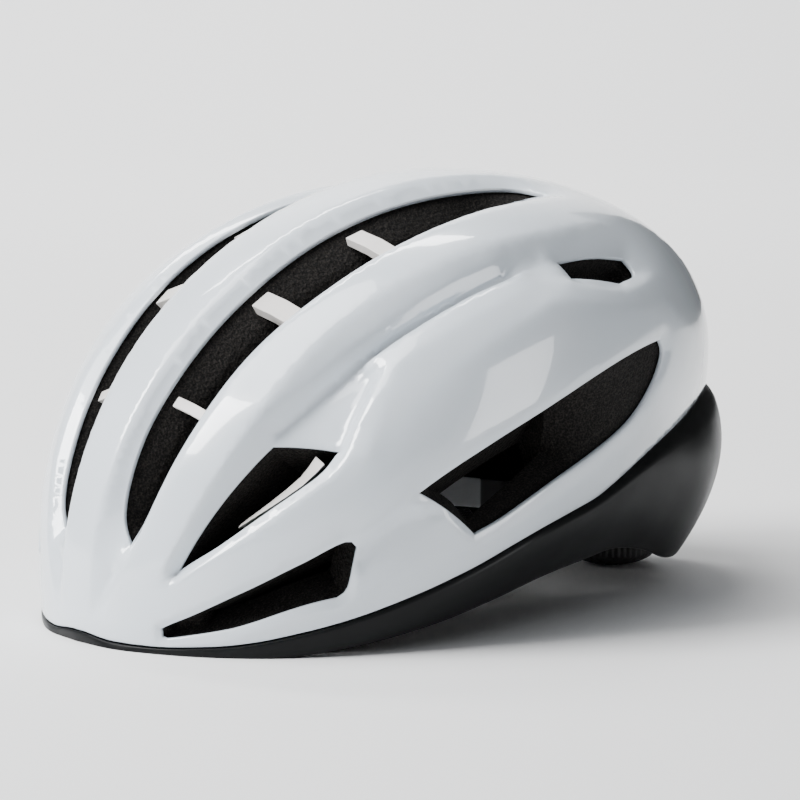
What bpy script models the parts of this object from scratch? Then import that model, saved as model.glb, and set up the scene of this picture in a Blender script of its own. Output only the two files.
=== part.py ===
"""Road cycling helmet: in-moulded shells on a foam liner, a dial fit system and a strap set.

Frame: metres, +Z up, the wearer faces -Y and the wearer's left is +X.  The helmet stands on
z = 0 on its front rim and on the dial at the nape, and its mirror plane is x = 0.

The outer form is a unit dome warped into an egg.  A place on it is a pair (u, v) of a
stereographic chart: u runs to the left, v runs to the back, and (0, 0) is the dome's top.
"""
import math

import bmesh
import bpy
from mathutils import Vector
from mathutils.geometry import delaunay_2d_cdt

# ---------------------------------------------------------------- driving dimensions (metres)
HALF_WIDTH = 0.0834        # width scale of the dome
WIDTH_WARP = (-0.605, -0.194, 0.662, 0.116, 0.201)
HALF_LENGTH = 0.1387       # length scale of the dome
LENGTH_WARP = (0.03385, -0.0103, 0.01557, 0.01315)
HEIGHT = 0.1492            # height scale of the dome
HEIGHT_WARP = (-0.098, -0.025, -0.046, 0.018)
RIM_DROP = 0.01483         # how far the dome's equator drops towards the back

SHELL = 0.0018             # wall of both outer shells
GAP = 0.0004               # clearance between parts that touch
FOAM_GAP = 0.0010          # clearance between the upper shell and the foam
BELT_GAP = 0.0009          # parting line between the two shells
TAIL_BULGE = 0.014         # how far the tail swells beyond a straight drop
TAIL_FOAM = 0.010          # thickness of the foam inside the tail
TAIL_STEP = 0.0025         # set-in of the lower shell under the belt at the back
SLOT_DEPTH = 0.016         # depth of the foam channel under each long slot
FOAM_SETBACK = 0.0060      # how far the foam stays behind the lower shell's surface
CAVITY_CENTRE = Vector((0.0, -0.010, 0.020))
CAVITY_RADII = (0.0785, 0.100, 0.110)
GRID = 0.085               # spacing of the chart points that fill a surface

DIAL_Y = 0.103             # the fit dial stands on a vertical axis here
DIAL_RADIUS = 0.0175
DIAL_TOP = 0.0115
DIAL_RIBS = 36
PINION_RADIUS = 0.0030
BAND_CENTRE_Y = 0.043      # both fit bands are arcs about a vertical line here
BAND_RADIUS = DIAL_Y - BAND_CENTRE_Y
BAND_WALL = 0.0016
RACK_OFFSET = 0.0040       # each rack's middle lies this far to its side of the pinion's axis
RACK_Z = (0.0175, 0.0255)
ARM_Z = (0.0155, 0.0275)
ARM_RISE = 0.0075          # how far each arm climbs towards the temple
HOUSING_Z = (0.0123, 0.0284)
HOUSING_HALF_ANGLE = 24    # degrees either side of the nape
HOUSING_WALL = 0.0012
HOUSING_SPAN = (0.0535, 0.0672)   # inner and outer radius
RAIL_LOW = Vector((0.0, 0.0815, 0.060))
RAIL_AXIS = Vector((0.0, -0.5, math.sqrt(0.75)))

STRAP_WIDTH = 0.014
STRAP_THICK = 0.0012
STRAP_LOW = 0.0147         # height of a strap's underside where it lies flat, tucked in
DIVIDER_X = (0.042, 0.061)
DIVIDER_Y = (-0.010, 0.008)
DIVIDER_Z = (0.0143, 0.0185)
LEVER_AXIS_Z = 0.0208
LEVER_BACK = 0.0063
BUCKLE_Y = -0.001          # middle of the buckle, which lies across the helmet
BUCKLE_LENGTH = 0.024      # each half
BUCKLE_HALF_WIDTH = 0.010
BUCKLE_Z = (0.0143, 0.0229)
FRAME_Y = 0.00425          # the layout's zero in the finished frame, whose origin is mid-footprint

# name of each moving group's pivot, the pivot that carries it, its place and its pieces
PIVOTS = [
    ("cradle_pivot", None, RAIL_LOW,
     ["cradle_housing", "cradle_cover", "nape_pad_left", "nape_pad_right", "height_slider"]),
    ("dial_pivot", "cradle_pivot", Vector((0.0, DIAL_Y, 0.0)), ["dial_knob", "dial_pinion"]),
    ("band_pivot_left", "cradle_pivot", Vector((0.0, BAND_CENTRE_Y, 0.0)), ["fit_band_left"]),
    ("band_pivot_right", "cradle_pivot", Vector((0.0, BAND_CENTRE_Y, 0.0)), ["fit_band_right"]),
    ("lever_pivot_left", None, Vector((0.0515, LEVER_BACK - 0.001, LEVER_AXIS_Z)),
     ["divider_lever_left"]),
    ("lever_pivot_right", None, Vector((-0.0515, LEVER_BACK - 0.001, LEVER_AXIS_Z)),
     ["divider_lever_right"]),
    ("plug_pivot", None, Vector((0.0, BUCKLE_Y, 0.0)), ["buckle_plug"]),
    ("button_pivot", None, Vector((0.007, BUCKLE_Y, 0.0222)), ["buckle_button"]),
]

# ---------------------------------------------------------------- outlines, left half, in (u, v)
BELT = [(0.0, -1.17), (0.20, -1.162), (0.40, -1.105), (0.57, -1.01), (0.69, -0.905),
        (0.782, -0.78), (0.846, -0.65), (0.882, -0.517), (0.895, -0.382), (0.882, -0.24),
        (0.823, -0.017), (0.763, 0.10), (0.60, 0.275), (0.50, 0.353), (0.345, 0.445),
        (0.17, 0.505), (0.0, 0.525)]
FOAM_RIM = [(0.0, -1.185), (0.20, -1.18), (0.40, -1.125), (0.58, -1.03), (0.718, -0.93),
            (0.833, -0.81), (0.914, -0.677), (0.975, -0.53), (0.985, -0.375), (0.975, -0.214),
            (0.90, -0.05), (0.79, 0.06), (0.67, 0.18), (0.55, 0.295), (0.38, 0.42),
            (0.19, 0.495), (0.0, 0.52)]
SLOT_INNER = [(0.135, -0.035), (0.09, -0.065), (0.073, -0.15), (0.066, -0.30), (0.072, -0.45),
              (0.078, -0.60), (0.085, -0.75), (0.115, -0.88), (0.178, -0.94)]
SLOT_OUTER = [(0.178, -0.94), (0.215, -0.86), (0.21, -0.70), (0.196, -0.54), (0.193, -0.40),
              (0.18, -0.26), (0.166, -0.15), (0.135, -0.035)]
CORNER_VENT = [[(0.366, -0.93), (0.371, -0.80), (0.371, -0.622)],
               [(0.371, -0.622), (0.49, -0.538)],
               [(0.49, -0.538), (0.506, -0.593), (0.485, -0.70), (0.44, -0.82), (0.366, -0.93)]]
BROW_VENT = [[(0.39, -1.06), (0.425, -1.075), (0.56, -0.98), (0.66, -0.87), (0.78, -0.665)],
             [(0.78, -0.665), (0.775, -0.63), (0.70, -0.58)],
             [(0.70, -0.58), (0.668, -0.60), (0.637, -0.704), (0.58, -0.83), (0.49, -0.96),
              (0.39, -1.06)]]
SIDE_VENT = [[(0.668, -0.435), (0.822, -0.311)],
             [(0.822, -0.311), (0.808, -0.235), (0.769, -0.132), (0.711, -0.014), (0.645, 0.07),
              (0.566, 0.108), (0.50, 0.112), (0.475, 0.09)],
             [(0.475, 0.09), (0.585, -0.123), (0.634, -0.267), (0.668, -0.435)]]
REAR_VENT = [[(0.313, -0.115), (0.358, -0.104)], [(0.358, -0.104), (0.376, -0.016)],
             [(0.376, -0.016), (0.349, 0.026), (0.309, 0.012)],
             [(0.309, 0.012), (0.308, -0.05), (0.313, -0.115)]]
EXHAUST = [[(0.075, 0.24), (0.155, 0.225)], [(0.155, 0.225), (0.205, 0.33), (0.17, 0.39)],
           [(0.17, 0.39), (0.085, 0.405)], [(0.085, 0.405), (0.068, 0.32), (0.075, 0.24)]]
SLOT_HOLES = [(-0.86, -0.70), (-0.62, -0.49), (-0.42, -0.33), (-0.26, -0.12)]
SLOT_BARS = {"front": -0.655, "mid": -0.455, "rear": -0.297}

# the lower shell's bottom edge, left half, front to back
RIM = [Vector(p) for p in ((0.0, -0.150, 0.0), (0.020, -0.148, 0.0), (0.037, -0.1405, 0.0),
                           (0.052, -0.1305, 0.0), (0.0645, -0.118, 0.0), (0.074, -0.104, 0.001),
                           (0.081, -0.088, 0.003), (0.086, -0.071, 0.006), (0.0895, -0.052, 0.010),
                           (0.090, -0.030, 0.015), (0.087, -0.005, 0.020), (0.080, 0.020, 0.022),
                           (0.074, 0.040, 0.0232), (0.066, 0.061, 0.0195), (0.056, 0.082, 0.0125),
                           (0.048, 0.095, 0.0118), (0.035, 0.110, 0.0145), (0.018, 0.121, 0.017),
                           (0.0, 0.1245, 0.018))]

MATERIALS = {
    "shell_white": ((0.72, 0.78, 0.84), 0.12, 0.0),
    "shell_charcoal": ((0.014, 0.015, 0.016), 0.28, 0.0),
    "foam": ((0.012, 0.012, 0.012), 0.9, 0.0),
    "fin_white": ((0.72, 0.69, 0.66), 0.3, 0.0),
    "plastic_black": ((0.018, 0.018, 0.019), 0.45, 0.0),
    "nylon_grey": ((0.50, 0.52, 0.54), 0.4, 0.0),
    "rubber": ((0.012, 0.012, 0.012), 0.75, 0.0),
    "pad_fabric": ((0.02, 0.02, 0.022), 0.95, 0.0),
    "webbing": ((0.02, 0.02, 0.02), 0.85, 0.0),
}


# ---------------------------------------------------------------- scene helpers
def clear_scene():
    for obj in list(bpy.data.objects):
        bpy.data.objects.remove(obj, do_unlink=True)


def new_collection(name):
    collection = bpy.data.collections.new(name)
    bpy.context.scene.collection.children.link(collection)
    return collection


def material(name):
    """The named finish, made once."""
    if name in bpy.data.materials:
        return bpy.data.materials[name]
    colour, roughness, metallic = MATERIALS[name]
    mat = bpy.data.materials.new(name)
    mat.use_nodes = True
    shader = mat.node_tree.nodes["Principled BSDF"]
    shader.inputs["Base Color"].default_value = (*colour, 1.0)
    shader.inputs["Roughness"].default_value = roughness
    shader.inputs["Metallic"].default_value = metallic
    mat.diffuse_color = (*colour, 1.0)
    return mat


def new_object(name, mesh, finish, collection):
    obj = bpy.data.objects.new(name, mesh)
    mesh.materials.append(material(finish))
    collection.objects.link(obj)
    return obj


def mesh_from(name, verts, faces):
    """A mesh of the given faces, with its normals made consistent and facing out."""
    mesh = bpy.data.meshes.new(name)
    mesh.from_pydata([tuple(v) for v in verts], [], faces)
    bm = bmesh.new()
    bm.from_mesh(mesh)
    bmesh.ops.recalc_face_normals(bm, faces=bm.faces)
    bm.to_mesh(mesh)
    bm.free()
    return mesh


def mirror_modifier(obj):
    mod = obj.modifiers.new("Mirror", 'MIRROR')
    mod.use_axis = (True, False, False)
    mod.use_clip = True
    mod.merge_threshold = 0.00005
    return mod


# ---------------------------------------------------------------- the dome
def direction(u, v):
    r = u * u + v * v
    return 2 * u / (1 + r), 2 * v / (1 + r), (1 - r) / (1 + r)


def dome(u, v):
    """The outer form's point at (u, v)."""
    nx, ny, nz = direction(u, v)
    a, b, c = WIDTH_WARP, LENGTH_WARP, HEIGHT_WARP
    x = HALF_WIDTH * nx * (1 + a[0] * ny + a[1] * ny ** 2 + a[2] * nz + a[3] * ny * nz
                           + a[4] * nz ** 2)
    y = HALF_LENGTH * ny + b[0] * nz + b[1] * ny ** 2 + b[2] * nz ** 2 + b[3] * ny * nz
    z = HEIGHT * nz * (1 + c[0] * ny + c[1] * ny ** 2 + c[2] * nz + c[3] * nx ** 2)
    return Vector((x, y, z + RIM_DROP * (1 - ny)))


def dome_normal(u, v):
    step = 1e-3
    du = dome(u + step, v) - dome(u - step, v)
    dv = dome(u, v + step) - dome(u, v - step)
    n = du.cross(dv).normalized()
    if abs(u) < 1e-9:
        n.x = 0.0
        n.normalize()
    return n


def on_dome(u, v, height=0.0):
    """The point at a height above the outer form, never below the floor."""
    p = dome(u, v) + dome_normal(u, v) * height
    return Vector((p.x if abs(u) > 1e-9 else 0.0, p.y, max(p.z, 0.0)))


def in_cavity(u, v):
    """The head cavity's wall on the line from (u, v) to the cavity's centre."""
    ray = on_dome(u, v) - CAVITY_CENTRE
    scale = 1 / math.sqrt(sum((ray[i] / CAVITY_RADII[i]) ** 2 for i in range(3)))
    return CAVITY_CENTRE + ray * scale


# ---------------------------------------------------------------- curves in the chart or in space
def smooth(points, per_span):
    """A Catmull-Rom curve through the points, with per_span steps between neighbours."""
    pts = [Vector(p) for p in points]
    ends = [pts[0] * 2 - pts[1]] + pts + [pts[-1] * 2 - pts[-2]]
    out = []
    for i in range(1, len(ends) - 2):
        a, b, c, d = ends[i - 1:i + 3]
        for k in range(per_span):
            t = k / per_span
            out.append(0.5 * ((2 * b) + (c - a) * t + (2 * a - 5 * b + 4 * c - d) * t ** 2
                              + (3 * b - a - 3 * c + d) * t ** 3))
    return out + [pts[-1]]


def ring(sides, per_span=2):
    """A closed outline from sides that meet at corners."""
    out = []
    for side in sides:
        steps = per_span if len(side) > 2 else 3
        out += smooth(side, steps)[:-1]
    return out


def inside(point, polygon):
    """Even-odd test of a chart point."""
    x, y = point
    hit = False
    for i, a in enumerate(polygon):
        b = polygon[i - 1]
        if (a[1] > y) != (b[1] > y) and x < (b[0] - a[0]) * (y - a[1]) / (b[1] - a[1]) + a[0]:
            hit = not hit
    return hit


def gap_to(point, polygon):
    """Distance from a chart point to an outline."""
    p = Vector(point)
    best = 9.0
    for i, a in enumerate(polygon):
        b = polygon[i - 1]
        ab = b - a
        t = max(0.0, min(1.0, (p - a).dot(ab) / max(ab.dot(ab), 1e-12)))
        best = min(best, (p - a - ab * t).length)
    return best


# ---------------------------------------------------------------- walls on the dome
def dome_wall(name, border, regions, top, bottom):
    """Half of a wall on the dome, open at x = 0, to be mirrored.

    border is the closed chart outline of the wall.  regions maps a name to a closed outline
    inside it.  top(region, u, v) and bottom(region, u, v) give the wall's two faces there, and
    top gives None where the region is a hole through the wall.  Where two regions have
    different heights along their common edge, an upright face joins them.
    """
    outlines = [border] + list(regions.values())
    verts, edges = [], []
    for outline in outlines:
        first = len(verts)
        verts += outline
        count = len(outline)
        edges += [(first + i, first + (i + 1) % count) for i in range(count)]
    reach = 1.3
    steps = int(reach / GRID)
    for i in range(1, steps):
        for j in range(-steps, steps):
            p = Vector((i * GRID, (j + 0.5 * (i % 2)) * GRID))
            if inside(p, border) and min(gap_to(p, o) for o in outlines) > 0.42 * GRID:
                verts.append(p)
    coords, _, tris, *_ = delaunay_2d_cdt(verts, edges, [], 0, 1e-6)
    order = list(regions.items())

    def region_of(tri):
        mid = sum((coords[i] for i in tri), Vector((0, 0))) / 3
        if not inside(mid, border):
            return None
        for key, outline in order:
            if inside(mid, outline):
                return key if top(key, mid.x, mid.y) is not None else None
        return "body"

    points, index = [], {}

    def point(vertex, place):
        key = (vertex, tuple(round(c, 7) for c in place))
        if key not in index:
            index[key] = len(points)
            points.append(place)
        return index[key]

    owner = {}
    kept = []
    for tri in tris:
        area = (coords[tri[1]] - coords[tri[0]]).cross(coords[tri[2]] - coords[tri[0]])
        tri = tri if area > 0 else tri[::-1]
        key = region_of(tri)
        if key is None:
            continue
        kept.append((tri, key))
        for i in range(3):
            owner[(tri[i], tri[(i + 1) % 3])] = key
    column = {}
    for tri, key in kept:
        for i in tri:
            levels = column.setdefault(i, {})
            for side, face in (("top", top), ("bottom", bottom)):
                levels[(key, side)] = point(i, face(key, coords[i].x, coords[i].y))

    def run(vertex, start, end):
        """The vertex's points between two levels, so that upright faces share their edges."""
        a, b = points[start], points[end]
        axis = b - a
        span = axis.dot(axis)
        if span < 1e-16:
            return [start]
        found = []
        for other in set(column[vertex].values()):
            t = (points[other] - a).dot(axis) / span
            off = (points[other] - a - axis * t).length
            if 1e-6 < t < 1 - 1e-6 and off < 1e-6:
                found.append((t, other))
        return [start] + [o for _, o in sorted(found)] + [end]

    def upright(a, b, high_a, high_b, low_a, low_b):
        loop = run(a, high_a, low_a) + run(b, low_b, high_b)
        loop = [p for i, p in enumerate(loop) if p != loop[i - 1]]
        if len(set(loop)) >= 3:
            faces.append(loop)

    faces = []
    for tri, key in kept:
        faces.append([column[i][(key, "top")] for i in tri])
        faces.append([column[i][(key, "bottom")] for i in reversed(tri)])
        for i in range(3):
            a, b = tri[i], tri[(i + 1) % 3]
            other = owner.get((b, a))
            if other is None:
                if coords[a].x < 1e-9 and coords[b].x < 1e-9:
                    continue
                upright(b, a, column[b][(key, "top")], column[a][(key, "top")],
                        column[b][(key, "bottom")], column[a][(key, "bottom")])
            elif other != key and key < other:
                for side in ("top", "bottom"):
                    upright(b, a, column[b][(key, side)], column[a][(key, side)],
                            column[b][(other, side)], column[a][(other, side)])
    return mesh_from(name, points, faces)


def half_border(curve):
    """Close a front-to-back curve along the mirror plane."""
    start, end = curve[0].y, curve[-1].y
    count = int((end - start) / GRID)
    line = [Vector((0.0, end + (start - end) * k / count)) for k in range(1, count)]
    return curve + line


def slot_ring():
    return smooth(SLOT_INNER, 2)[:-1] + smooth(SLOT_OUTER, 2)[:-1]


def slot_edge(curve, v):
    """Where a slot's edge crosses the line v."""
    pts = smooth(curve, 6)
    for a, b in zip(pts, pts[1:]):
        if min(a.y, b.y) <= v <= max(a.y, b.y):
            t = (v - a.y) / (b.y - a.y) if b.y != a.y else 0.0
            return a.x + (b.x - a.x) * t
    return pts[0].x


def slot_hole(low, high):
    """A through-hole in the floor of the long slot."""
    margin = 0.022
    inner = [Vector((slot_edge(SLOT_INNER, v) + margin, v)) for v in (high, (low + high) / 2, low)]
    outer = [Vector((slot_edge(SLOT_OUTER, v) - margin, v)) for v in (low, (low + high) / 2, high)]
    return inner + outer


def relief(u, v):
    """Height of the white shell's ribs and channels above the dome."""
    p = Vector((u, v))
    edge = gap_to(p, SLOT_LINE)
    return -0.004 * max(0.0, 1 - edge / 0.03)


def above_belt(u, v):
    """True inside the belt line by more than the upper shell's lower edge needs."""
    if not inside((u, v), BELT_LINE):
        return False
    return min((Vector((u, v)) - p).length for p in BELT_LINE) > 0.03


def make_upper_shell(parts):
    regions = {"slot": slot_ring(), "corner": ring(CORNER_VENT), "brow": ring(BROW_VENT),
               "side": ring(SIDE_VENT), "rear": ring(REAR_VENT), "exhaust": ring(EXHAUST)}

    def top(region, u, v):
        return on_dome(u, v, relief(u, v)) if region == "body" else None

    def bottom(region, u, v):
        return on_dome(u, v, relief(u, v) - SHELL)

    mesh = dome_wall("upper_shell", half_border(smooth(BELT, 2)), regions, top, bottom)
    mirror_modifier(new_object("upper_shell", mesh, "shell_white", parts))


def make_foam_liner(parts):
    regions = {"slot%d" % i: slot_hole(*span) for i, span in enumerate(SLOT_HOLES)}
    regions.update({"corner": ring(CORNER_VENT), "brow": ring(BROW_VENT), "side": ring(SIDE_VENT),
                    "rear": ring(REAR_VENT), "exhaust": ring(EXHAUST), "channel": slot_ring()})

    def top(region, u, v):
        if region == "channel":
            return on_dome(u, v, -SLOT_DEPTH)
        if region != "body":
            return None
        return on_dome(u, v, relief(u, v) - SHELL - FOAM_GAP if above_belt(u, v) else -FOAM_SETBACK)

    def bottom(region, u, v):
        return in_cavity(u, v)

    mesh = dome_wall("foam_liner", half_border(smooth(FOAM_RIM, 2)), regions, top, bottom)
    mirror_modifier(new_object("foam_liner", mesh, "foam", parts))


# ---------------------------------------------------------------- the lower shell and tail
def belt_curve(per_span=2):
    return [on_dome(p.x, p.y) for p in smooth(BELT, per_span)]


def spread(points, count):
    """The same curve as count + 1 points at even spacing."""
    lengths = [0.0]
    for a, b in zip(points, points[1:]):
        lengths.append(lengths[-1] + (b - a).length)
    out, i = [], 0
    for k in range(count + 1):
        want = lengths[-1] * k / count
        while i < len(points) - 2 and lengths[i + 1] < want:
            i += 1
        t = (want - lengths[i]) / (lengths[i + 1] - lengths[i])
        out.append(points[i].lerp(points[i + 1], min(1.0, max(0.0, t))))
    return out


def lower_skin(columns, rows, inset=0.0, low=0.0, start=0.0):
    """The lower shell's surface as columns from the belt down to the rim, front to back.

    The tail bulges out between belt and rim; inset moves the surface inward, low ends it
    short of the rim and start leaves out that share of the columns at the front.
    """
    belt = spread(belt_curve(4), columns)
    rim = spread(smooth(RIM, 4), columns)
    first = int(start * columns)
    grid = []
    for i in range(first, columns + 1):
        upper, lower = belt[i] - Vector((0.0, 0.0, BELT_GAP)), rim[i]
        ahead = belt[min(i + 1, columns)] - belt[max(i - 1, 0)]
        out = Vector((ahead.y, -ahead.x, 0.0)).normalized()
        if out.x < 0:
            out = -out
        if i == columns:
            out = Vector((0.0, 1.0, 0.0))
        if i == 0:
            out = Vector((0.0, -1.0, 0.0))
        drop = max(0.0, upper.z - lower.z)
        bulge = out * (TAIL_BULGE * min(1.0, drop / 0.060) ** 2 + 0.08 * drop)
        middle = upper.lerp(lower, 0.42) + bulge
        column = []
        for j in range(rows + 1):
            t = j / rows * (1 - low)
            p = upper * (1 - t) ** 2 + middle * 2 * t * (1 - t) + lower * t * t
            p = p - out * (inset + TAIL_STEP * min(1.0, drop / 0.050) * max(0.0, 1 - t * 9))
            column.append(Vector((p.x, p.y, max(p.z, 0.0))))
        grid.append(column)
    return grid


def grid_wall(outer, inner):
    """Half a wall between two like grids of columns, open on the mirror plane."""
    rows = len(outer[0])
    count = len(outer)
    verts = [p for column in outer + inner for p in column]

    def at(layer, i, j):
        return layer * count * rows + i * rows + j

    faces = []
    for i in range(count - 1):
        for j in range(rows - 1):
            a, b, c, d = (i, j), (i + 1, j), (i + 1, j + 1), (i, j + 1)
            faces.append([at(0, *q) for q in (a, b, c, d)])
            faces.append([at(1, *q) for q in (d, c, b, a)])
        for j in (0, rows - 1):
            faces.append([at(0, i, j), at(0, i + 1, j), at(1, i + 1, j), at(1, i, j)])
    ends = [i for i in (0, count - 1) if abs(outer[i][0].x) > 1e-6]
    for i in ends:
        for j in range(rows - 1):
            faces.append([at(0, i, j), at(0, i, j + 1), at(1, i, j + 1), at(1, i, j)])
    return verts, faces


def make_lower_shell(parts):
    outer = lower_skin(30, 6)
    inner = lower_skin(30, 6, inset=SHELL)
    verts, faces = grid_wall(outer, inner)
    mesh = mesh_from("lower_shell", verts, faces)
    mirror_modifier(new_object("lower_shell", mesh, "shell_charcoal", parts))


def make_foam_tail(parts):
    """The foam block that backs the lower shell round the tail."""
    outer = lower_skin(30, 6, inset=SHELL + 0.0008, low=0.22, start=0.66)
    inner = lower_skin(30, 6, inset=SHELL + TAIL_FOAM, low=0.22, start=0.66)
    verts, faces = grid_wall([column[2:] for column in outer], [column[2:] for column in inner])
    mesh = mesh_from("foam_tail", verts, faces)
    mirror_modifier(new_object("foam_tail", mesh, "foam", parts))


# ---------------------------------------------------------------- plain solids
def loft(name, sections, finish, parts):
    """A solid through like loops of points, capped at both ends."""
    count = len(sections[0])
    verts = [p for loop in sections for p in loop]
    faces = []
    for i in range(len(sections) - 1):
        for k in range(count):
            n = (k + 1) % count
            faces.append([i * count + k, i * count + n, (i + 1) * count + n, (i + 1) * count + k])
    faces.append(list(range(count))[::-1])
    faces.append([(len(sections) - 1) * count + k for k in range(count)])
    return new_object(name, mesh_from(name, verts, faces), finish, parts)


def box(name, low, high, finish, parts, bevel=0.0):
    bpy.ops.mesh.primitive_cube_add(size=1.0)
    obj = bpy.context.active_object
    mesh = obj.data
    mesh.name = name
    for vert in mesh.vertices:
        vert.co = Vector([low[i] + (vert.co[i] + 0.5) * (high[i] - low[i]) for i in range(3)])
    bpy.data.objects.remove(obj, do_unlink=True)
    obj = new_object(name, mesh, finish, parts)
    if bevel:
        mod = obj.modifiers.new("Bevel", 'BEVEL')
        mod.width = bevel
        mod.segments = 1
        mod.limit_method = 'ANGLE'
    return obj


def cut(obj, cutter):
    cutter.hide_render = True
    cutter.display_type = 'WIRE'
    mod = obj.modifiers.new("Boolean", 'BOOLEAN')
    mod.object = cutter
    mod.operation = 'DIFFERENCE'
    mod.solver = 'EXACT'


def arc_point(radius, degrees, z):
    angle = math.radians(degrees)
    return Vector((radius * math.cos(angle), BAND_CENTRE_Y + radius * math.sin(angle), z))


def cavity_at(degrees, z, inset):
    """A point on the cavity's wall, moved inward by inset, at a height and a bearing."""
    a, b, c = (r - inset for r in CAVITY_RADII)
    k = math.sqrt(max(0.0, 1 - ((z - CAVITY_CENTRE.z) / c) ** 2))
    angle = math.radians(degrees)
    return Vector((a * k * math.cos(angle), CAVITY_CENTRE.y + b * k * math.sin(angle), z))


# ---------------------------------------------------------------- bars and fins in the vents
def make_slot_bars(parts):
    planks = {"front": (0.0010, -0.0068, -0.0092), "mid": (0.0016, -0.0060, -0.0112),
              "rear": (0.0013, -0.0062, -0.0102)}
    for side, word in ((1, "left"), (-1, "right")):
        for place, v in SLOT_BARS.items():
            near = slot_edge(SLOT_OUTER, v) - 0.008
            far = slot_edge(SLOT_INNER, v) + 0.018
            sections = []
            for k, u in enumerate((near, (near + far) / 2, far)):
                half, high, low = planks[place]
                step = half / 0.105
                low += 0.0004 * k
                loop = []
                for dv, h in ((-step, high), (step, high), (step, low), (-step, low)):
                    p = on_dome(u, v + dv, h)
                    loop.append(Vector((p.x * side, p.y, p.z)))
                sections.append(loop)
            loft("slot_bar_%s_%s" % (place, word), sections, "fin_white", parts)


def make_corner_fins(parts):
    """The upright white fin along the outer wall of each corner vent."""
    path = smooth([(0.482, -0.572), (0.487, -0.62), (0.470, -0.69), (0.440, -0.765)], 2)
    for side, word in ((1, "left"), (-1, "right")):
        sections = []
        for i, p in enumerate(path):
            along = (path[min(i + 1, len(path) - 1)] - path[max(i - 1, 0)]).normalized()
            across = Vector((-along.y, along.x))
            outer = p + across * 0.009
            inner = p - across * (0.024 * (1 - i / (len(path) - 1)) ** 1.3)
            loop = []
            for q, h in ((inner, -0.0095), (outer, -0.0048), (outer, -0.017), (inner, -0.017)):
                place = on_dome(q.x, q.y, h)
                loop.append(Vector((place.x * side, place.y, place.z)))
            sections.append(loop)
        loft("corner_fin_" + word, sections, "fin_white", parts)


# ---------------------------------------------------------------- padding and the front hoop
def cavity_band(name, angles, heights, insets, finish, parts, pinch=0.0):
    """A band on the cavity's wall, between two bearings, two heights and two insets."""
    sections = []
    for i, degrees in enumerate(angles):
        end = i in (0, len(angles) - 1)
        squeeze = pinch if end else 0.0
        low, high = heights[0] + squeeze, heights[1] - squeeze
        near, far = insets[0], insets[1] - squeeze * 0.5
        sections.append([cavity_at(degrees, low, near), cavity_at(degrees, high, near),
                         cavity_at(degrees, high, far), cavity_at(degrees, low, far)])
    loft(name, sections, finish, parts)


def crown_strip(name, x_low, x_high, y_low, y_high, thick, parts):
    """A pad on the roof of the cavity that runs front to back."""
    a, b, c = (r - 0.0022 for r in CAVITY_RADII)
    sections = []
    steps = 8
    for i in range(steps + 1):
        y = y_low + (y_high - y_low) * i / steps
        loop = []
        for x, drop in ((x_low, 0.0), ((x_low + x_high) / 2, 0.0), (x_high, 0.0),
                        (x_high, thick), ((x_low + x_high) / 2, thick), (x_low, thick)):
            k = 1 - (x / a) ** 2 - ((y - CAVITY_CENTRE.y) / b) ** 2
            loop.append(Vector((x, y, CAVITY_CENTRE.z + c * math.sqrt(k) - drop)))
        sections.append(loop)
    loft(name, sections, "pad_fabric", parts)


def make_padding(parts):
    hoop = [-168 + 12 * i for i in range(14)]
    cavity_band("front_hoop", hoop, (0.026, 0.034), (0.0008, 0.0020), "plastic_black", parts)
    brow = [-144 + 9 * i for i in range(13)]
    cavity_band("brow_pad", brow, (0.018, 0.042), (0.0026, 0.0085), "pad_fabric", parts, 0.003)
    crown_strip("crown_pad", -0.013, 0.013, -0.070, 0.045, 0.006, parts)
    crown_strip("side_pad_left", 0.042, 0.056, -0.050, 0.028, 0.006, parts)
    crown_strip("side_pad_right", -0.056, -0.042, -0.050, 0.028, 0.006, parts)


# ---------------------------------------------------------------- the fit system at the nape
def sector(name, radii, heights, degrees, finish, parts, steps=8):
    """A block between two radii, two heights and two bearings about the bands' centre."""
    sections = []
    for i in range(steps + 1):
        angle = degrees[0] + (degrees[1] - degrees[0]) * i / steps
        sections.append([arc_point(radii[0], angle, heights[0]),
                         arc_point(radii[1], angle, heights[0]),
                         arc_point(radii[1], angle, heights[1]),
                         arc_point(radii[0], angle, heights[1])])
    return loft(name, sections, finish, parts)


def make_cradle(parts, cutters):
    near, far = HOUSING_SPAN
    low, high = HOUSING_Z
    wall = HOUSING_WALL
    span = (90 - HOUSING_HALF_ANGLE, 90 + HOUSING_HALF_ANGLE)
    sections = []
    for i in range(9):
        angle = span[0] + (span[1] - span[0]) * i / 8
        profile = ((near, low), (far, low), (far, high), (far - wall, high),
                   (far - wall, low + 2 * wall), (near + wall, low + 2 * wall),
                   (near + wall, high), (near, high))
        sections.append([arc_point(radius, angle, z) for radius, z in profile])
    housing = loft("cradle_housing", sections, "plastic_black", parts)
    bpy.ops.mesh.primitive_cylinder_add(vertices=24, radius=0.0026, depth=0.01,
                                        location=(0.0, DIAL_Y, low))
    bore = bpy.context.active_object
    bore.name = "shaft_bore"
    for collection in list(bore.users_collection):
        collection.objects.unlink(bore)
    cutters.objects.link(bore)
    cut(housing, bore)
    sector("cradle_cover", (near, far), (high + GAP, high + 0.0022), span, "plastic_black", parts)
    for side, word in ((1, "left"), (-1, "right")):
        bearings = (90 - side * 6, 90 - side * 23)
        sector("nape_pad_" + word, (near - 0.0065, near - GAP), (0.0135, 0.0300), bearings,
               "pad_fabric", parts, 4)


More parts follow.
